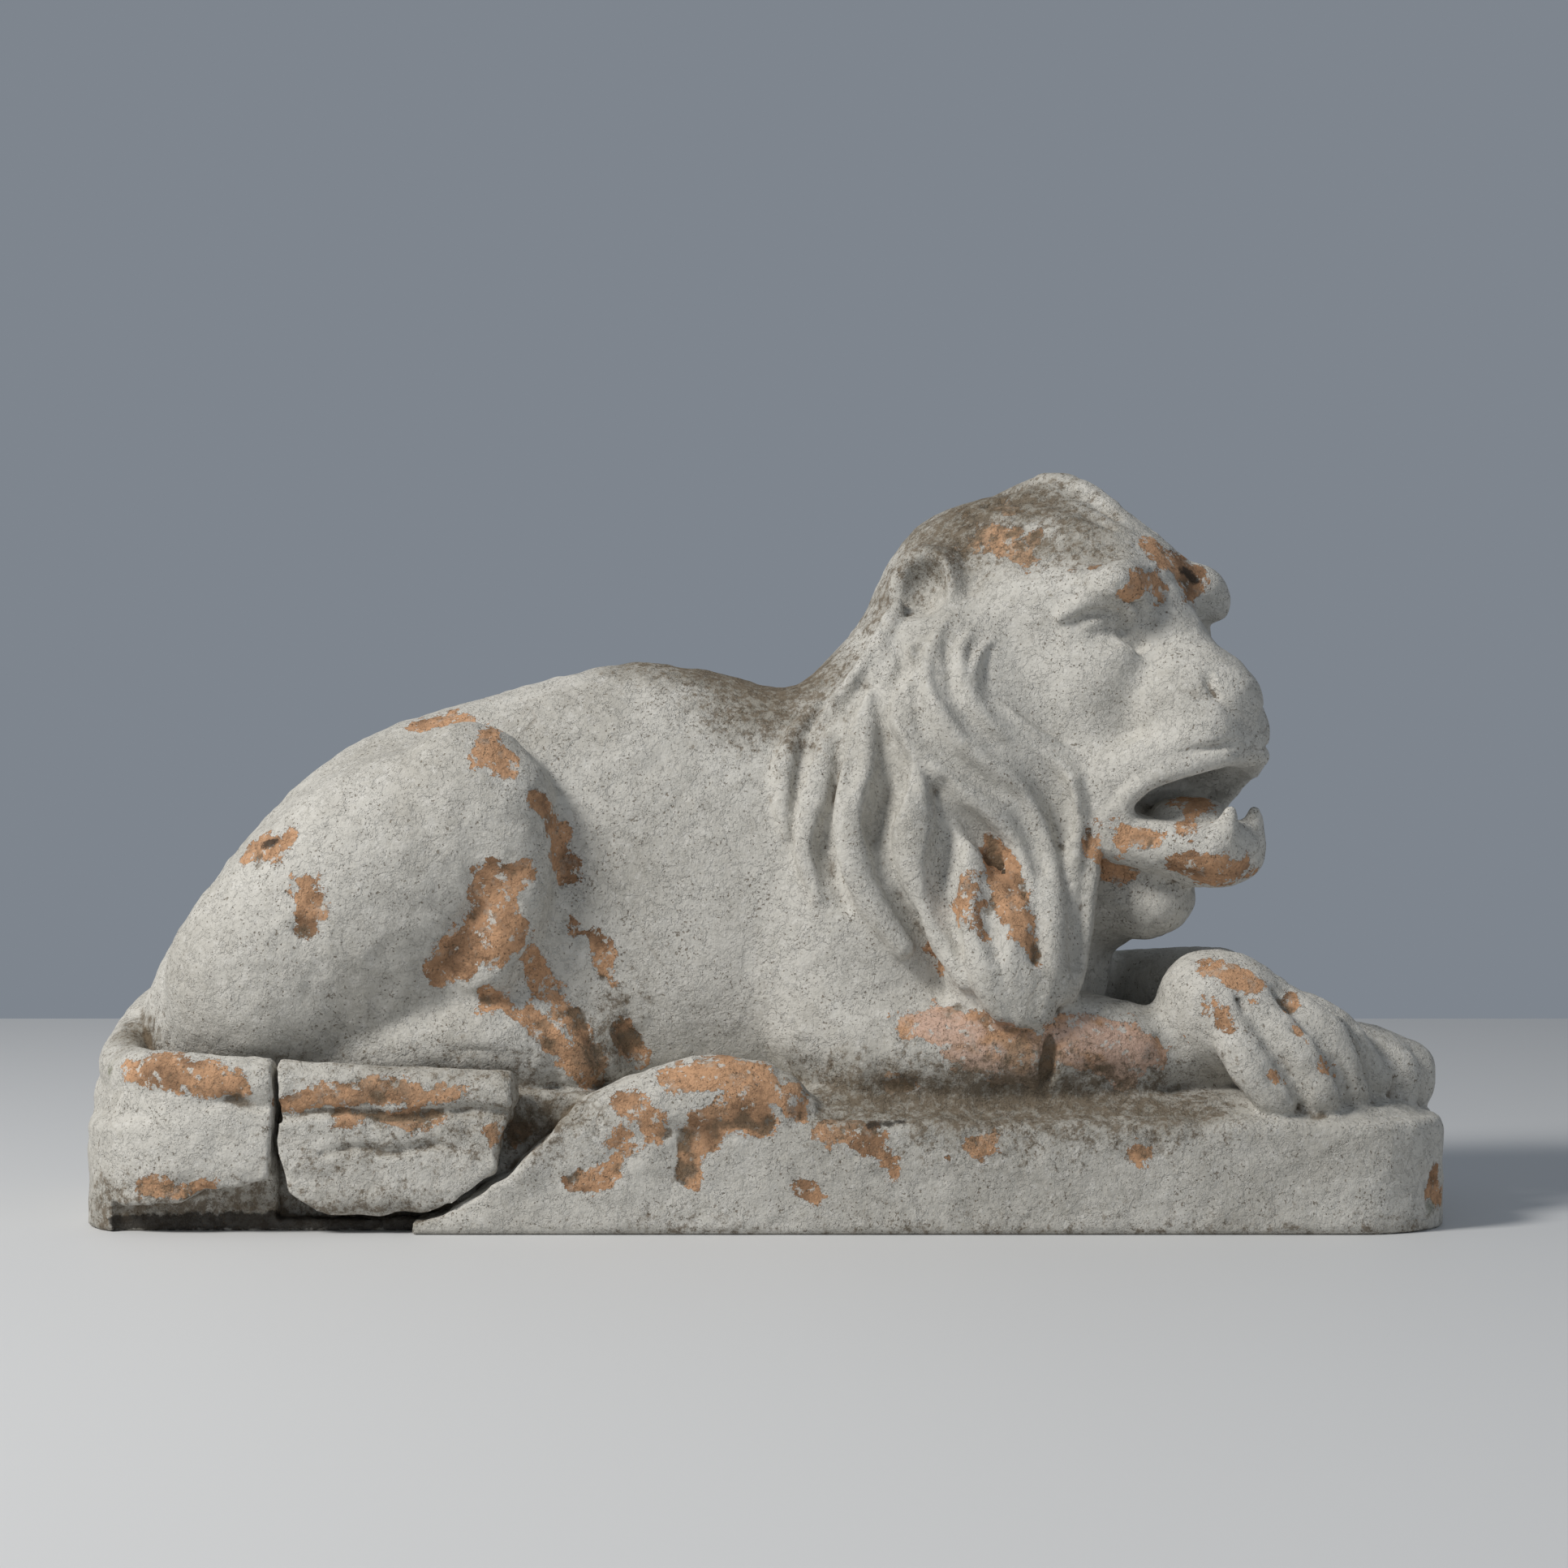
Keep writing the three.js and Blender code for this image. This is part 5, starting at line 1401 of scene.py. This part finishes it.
# SOOT_AND_SHADE is the colour of soot and also of the painted shade at the back of the hollow under the
# tail
SOOT_AND_SHADE, MOSS = (0.03, 0.025, 0.02), (0.10, 0.105, 0.05)


def losses(t, place):
    """Bare clay, and the rims of the limewash round it: along the strokes, and in small chips
    where frost and knocks reached."""
    inside, rim = use(t, TORN, ("Inside", "Rim"), Place=place, Mask=t.attribute("bare"),
                      Raggedness=2.0)
    slow = t.math("MULTIPLY", t.noise(place, 8, 2, 0.5), 0.3)
    chance = t.math("MULTIPLY_ADD", t.noise(place, 62, 2, 0.5), 0.62, slow)
    chance = t.math("MULTIPLY_ADD", t.attribute("chipped"), 0.15, t.math("SUBTRACT", chance, 0.29))
    chip, chip_rim = use(t, TORN, ("Inside", "Rim"), Place=place, Mask=chance, Raggedness=0.55)
    return t.math("MAXIMUM", inside, chip), t.math("MAXIMUM", rim, chip_rim)


# %% Clay and limewash
def bare_clay(t, place):
    """Orange, browned and dusty in places, with scraps of limewash left on it."""
    clay = t.mix(t.spread(place, 22, 0.45, 0.64, 0.9), CLAY_ORANGE, CLAY_BROWN)
    fresh = t.math("MULTIPLY", t.attribute("pink"), t.spread(place, 26, 0.36, 0.52))
    clay = t.mix(fresh, clay, CLAY_PINK)
    clay = t.mix(t.spread(place, 75, 0.55, 0.70, 0.5), clay, LIME_GREY)
    clay = t.mix(t.spread(place, 310, 0.48, 0.70, 0.45), clay, CLAY_BROWN)
    return t.mix(t.spread(place, 105, 0.585, 0.60, 0.85, 5, 0.7), clay, LIME_LIGHT)


def limewash(t, place, rim):
    """Cloudy and scuffed, and lighter in a rim where its edge has lifted: thicker paint, with a painted
    highlight on the lip.
    """
    lime = t.mix(t.spread(place, 7, 0.40, 0.70, 0.7, 6), LIME_LIGHT, LIME_GREY)
    lime = t.mix(t.spread(place, 60, 0.52, 0.68, 0.5, 6, 0.75), lime, LIME_GREY)
    lime = t.mix(t.spread(place, 150, 0.50, 0.68, 0.5, 5, 0.7), lime, LIME_PALE_AND_HIGHLIGHT)
    # Painted highlight: the rim round each loss is lightened
    return t.mix(t.math("MULTIPLY", rim, 0.7), lime, LIME_PALE_AND_HIGHLIGHT)


# %% What the weather laid on both, and painted shade
def rain_dirt_and_shade(t, place, finish):
    """Lichen where the grime and shade mask is high and the skin faces up, and brown scratches. Where
    that mask marks the hollow under the tail and the folds, both colours are painted shade.
    """
    grime_and_shade = t.attribute("grime_and_shade")
    upward = t.math("MULTIPLY", t.attribute("upward"), 0.10)
    weather = t.math("MULTIPLY_ADD", grime_and_shade, 0.50, upward)
    weather = t.math("MULTIPLY_ADD", t.noise(place, 16, 6, 0.72), 0.80, weather)
    finish = t.mix(t.steps(weather, 0.60, 0.94, 0.0, 0.76), finish, LICHEN_AND_SHADE)
    scratch = t.math("MULTIPLY_ADD", t.noise(place, 130, 6, 0.8), 1.0,
                     t.math("MULTIPLY", grime_and_shade, 0.26))
    return t.mix(t.steps(scratch, 0.61, 0.77, 0.0, 0.82), finish, DIRT_AND_SHADE)


def shade_and_dirt_in_hollows(t, place, finish):
    """Dark seams in the crevices, painted shade with dirt, and a wider painted shade in the deep folds.
    """
    crevice, recess = t.attribute("crevice"), t.attribute("recess")
    # Painted shade and dirt: the crevice mask darkens the narrow creases
    seams = t.steps(t.math("MULTIPLY_ADD", t.noise(place, 110, 4, 0.65), 0.4, crevice), 0.98, 1.16)
    finish = t.mix(t.math("MULTIPLY", seams, 0.8), finish, DIRT_AND_SHADE)
    # Painted shade: the recess mask darkens the deep folds
    deep = t.steps(t.math("MULTIPLY_ADD", t.noise(place, 24, 5, 0.7), 0.6, recess), 1.08, 1.4)
    return t.mix(t.math("MULTIPLY", deep, 0.62), finish, DIRT_AND_SHADE)


def soot_shade_and_moss(t, place, finish):
    # Soot in old paint scars, and painted shade at the back of the hollow under the tail
    soot_and_shade_share = t.math("MULTIPLY_ADD", t.noise(place, 85, 5, 0.7), 0.9, t.attribute("soot_and_shade"))
    finish = t.mix(t.steps(soot_and_shade_share, 1.05, 1.22, 0.0, 0.88), finish, SOOT_AND_SHADE)
    mossy = t.math("MULTIPLY_ADD", t.noise(place, 60, 5, 0.7), 0.9, t.attribute("moss"))
    return t.mix(t.steps(mossy, 0.95, 1.25, 0.0, 0.7), finish, MOSS)


# %% The paint's height, in tenths of a millimetre
def height_of(t, place, bare, rim, holes):
    """Paint in several coats, dents, crumbs, pits and curled lips."""
    paint = t.math("MULTIPLY", t.math("SUBTRACT", 1.0, bare), 10.0)
    old_coat = t.spread(place, 30, 0.49, 0.515, 5.0, 6, 0.7)
    coats = t.math("ADD", old_coat, t.spread(place, 70, 0.50, 0.53, 4.0, 5, 0.7))
    dents = t.math("MULTIPLY", t.noise(place, 95, 5, 0.6), 16.0)
    crumbs = t.math("MULTIPLY", t.noise(place, 380, 4, 0.7), 6.0)
    pits = t.math("MULTIPLY", holes, -5.0)
    lips = t.math("MULTIPLY", rim, 3.0)
    rough = t.math("ADD", t.math("ADD", dents, crumbs), t.math("ADD", pits, lips))
    return t.math("ADD", t.math("ADD", paint, coats), rough)


# %% Build the material and dress both pieces
def painted_terracotta():
    made = bpy.data.materials.new("painted_terracotta")
    made.use_nodes = True
    t = Tree(made.node_tree)
    shader = made.node_tree.nodes["Principled BSDF"]
    place = t.node("ShaderNodeTexCoord", out="Object")
    bare, rim = losses(t, place)
    finish = t.mix(bare, limewash(t, place, rim), bare_clay(t, place))
    finish = rain_dirt_and_shade(t, place, finish)
    finish = shade_and_dirt_in_hollows(t, place, finish)
    finish = soot_shade_and_moss(t, place, finish)
    specks, = use(t, SPECKLE, ("Specks",), Place=place, Scale=470.0, Amount=0.85)
    finish = t.mix(t.math("MULTIPLY", specks, 0.7), finish, DIRT_AND_SHADE)
    cracks, = use(t, HAIRLINES, ("Cracks",), Place=place, Scale=15.0, Share=0.6)
    finish = t.mix(t.math("MULTIPLY", cracks, 0.75), finish, DIRT_AND_SHADE)
    chalk = t.steps(t.noise(place, 60, 3, 0.6), 0.3, 0.7, 0.84, 0.97)
    height = height_of(t, place, bare, rim, t.math("ADD", specks, cracks))
    t.tree.links.new(finish, shader.inputs["Base Color"])
    t.tree.links.new(chalk, shader.inputs["Roughness"])
    shader.inputs["Specular IOR Level"].default_value = 0.2
    bump = t.node("ShaderNodeBump", Height=height, Distance=0.0001, Strength=1.0)
    t.tree.links.new(bump, shader.inputs["Normal"])
    return made


FINISH = painted_terracotta()
for piece, node in ((lion, "lion_on_plinth"), (tail, "broken_tail_length")):
    piece.data.materials.clear()
    piece.data.materials.append(FINISH)
    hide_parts(node)
    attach(piece, "root")
print("finish:", len(FINISH.node_tree.nodes), "nodes")

# %% [markdown]
# ## Studio
#
# A plain pale floor, a plain grey-blue surround, one large soft light high on the left and a
# weak one on the right. The camera is where the photograph's was: level, a little below the
# line of the lion's back and 2.7 m in front.

# %% Floor
def plain(name, colour, rough):
    made = bpy.data.materials.new(name)
    made.use_nodes = True
    shader = made.node_tree.nodes["Principled BSDF"]
    shader.inputs["Base Color"].default_value = (*colour, 1)
    shader.inputs["Roughness"].default_value = rough
    return made


FLOOR_HALF = 2.13
floor_mesh = bpy.data.meshes.new("floor")
square = [(x * FLOOR_HALF, y * FLOOR_HALF, 0) for x, y in ((-1, -1), (1, -1), (1, 1), (-1, 1))]
floor_mesh.from_pydata(square, [], [(0, 1, 2, 3)])
floor_mesh.materials.append(plain("pale_floor", (0.63, 0.63, 0.625), 0.6))
floor = bpy.data.objects.new("floor", floor_mesh)
bpy.context.scene.collection.objects.link(floor)


# %% Lights and surround
def soft_light(name, spot, size, power, colour):
    data = bpy.data.lights.new(name, "AREA")
    data.size, data.energy, data.color = size, power, colour
    made = bpy.data.objects.new(name, data)
    made.location = spot
    made.rotation_euler = (Vector((0, 0, 0.25)) - Vector(spot)).to_track_quat("-Z", "Y").to_euler()
    bpy.context.scene.collection.objects.link(made)
    return made


soft_light("key", (-2.7, -1.9, 3.1), 1.1, 172, (1.0, 0.98, 0.95))
soft_light("fill", (2.2, -2.0, 1.2), 1.6, 4, (0.94, 0.97, 1.0))
world = bpy.data.worlds.new("surround")
world.use_nodes = True
world.node_tree.nodes["Background"].inputs["Color"].default_value = (0.209, 0.235, 0.271, 1)
world.node_tree.nodes["Background"].inputs["Strength"].default_value = 1.0
bpy.context.scene.world = world
bpy.context.scene.view_settings.view_transform = "Standard"

# %% Camera
FOCAL_PIXELS, IMAGE_PIXELS, SENSOR_WIDTH = 4150, 1932, 36
CAMERA_SPOT = (0.014, -2.680, 0.335)
lens = bpy.data.cameras.new("camera")
lens.sensor_width = SENSOR_WIDTH
lens.lens = SENSOR_WIDTH * FOCAL_PIXELS / IMAGE_PIXELS
camera = bpy.data.objects.new("camera", lens)
camera.location = CAMERA_SPOT
camera.rotation_euler = (math.pi / 2, 0, 0)
bpy.context.scene.collection.objects.link(camera)
bpy.context.scene.camera = camera
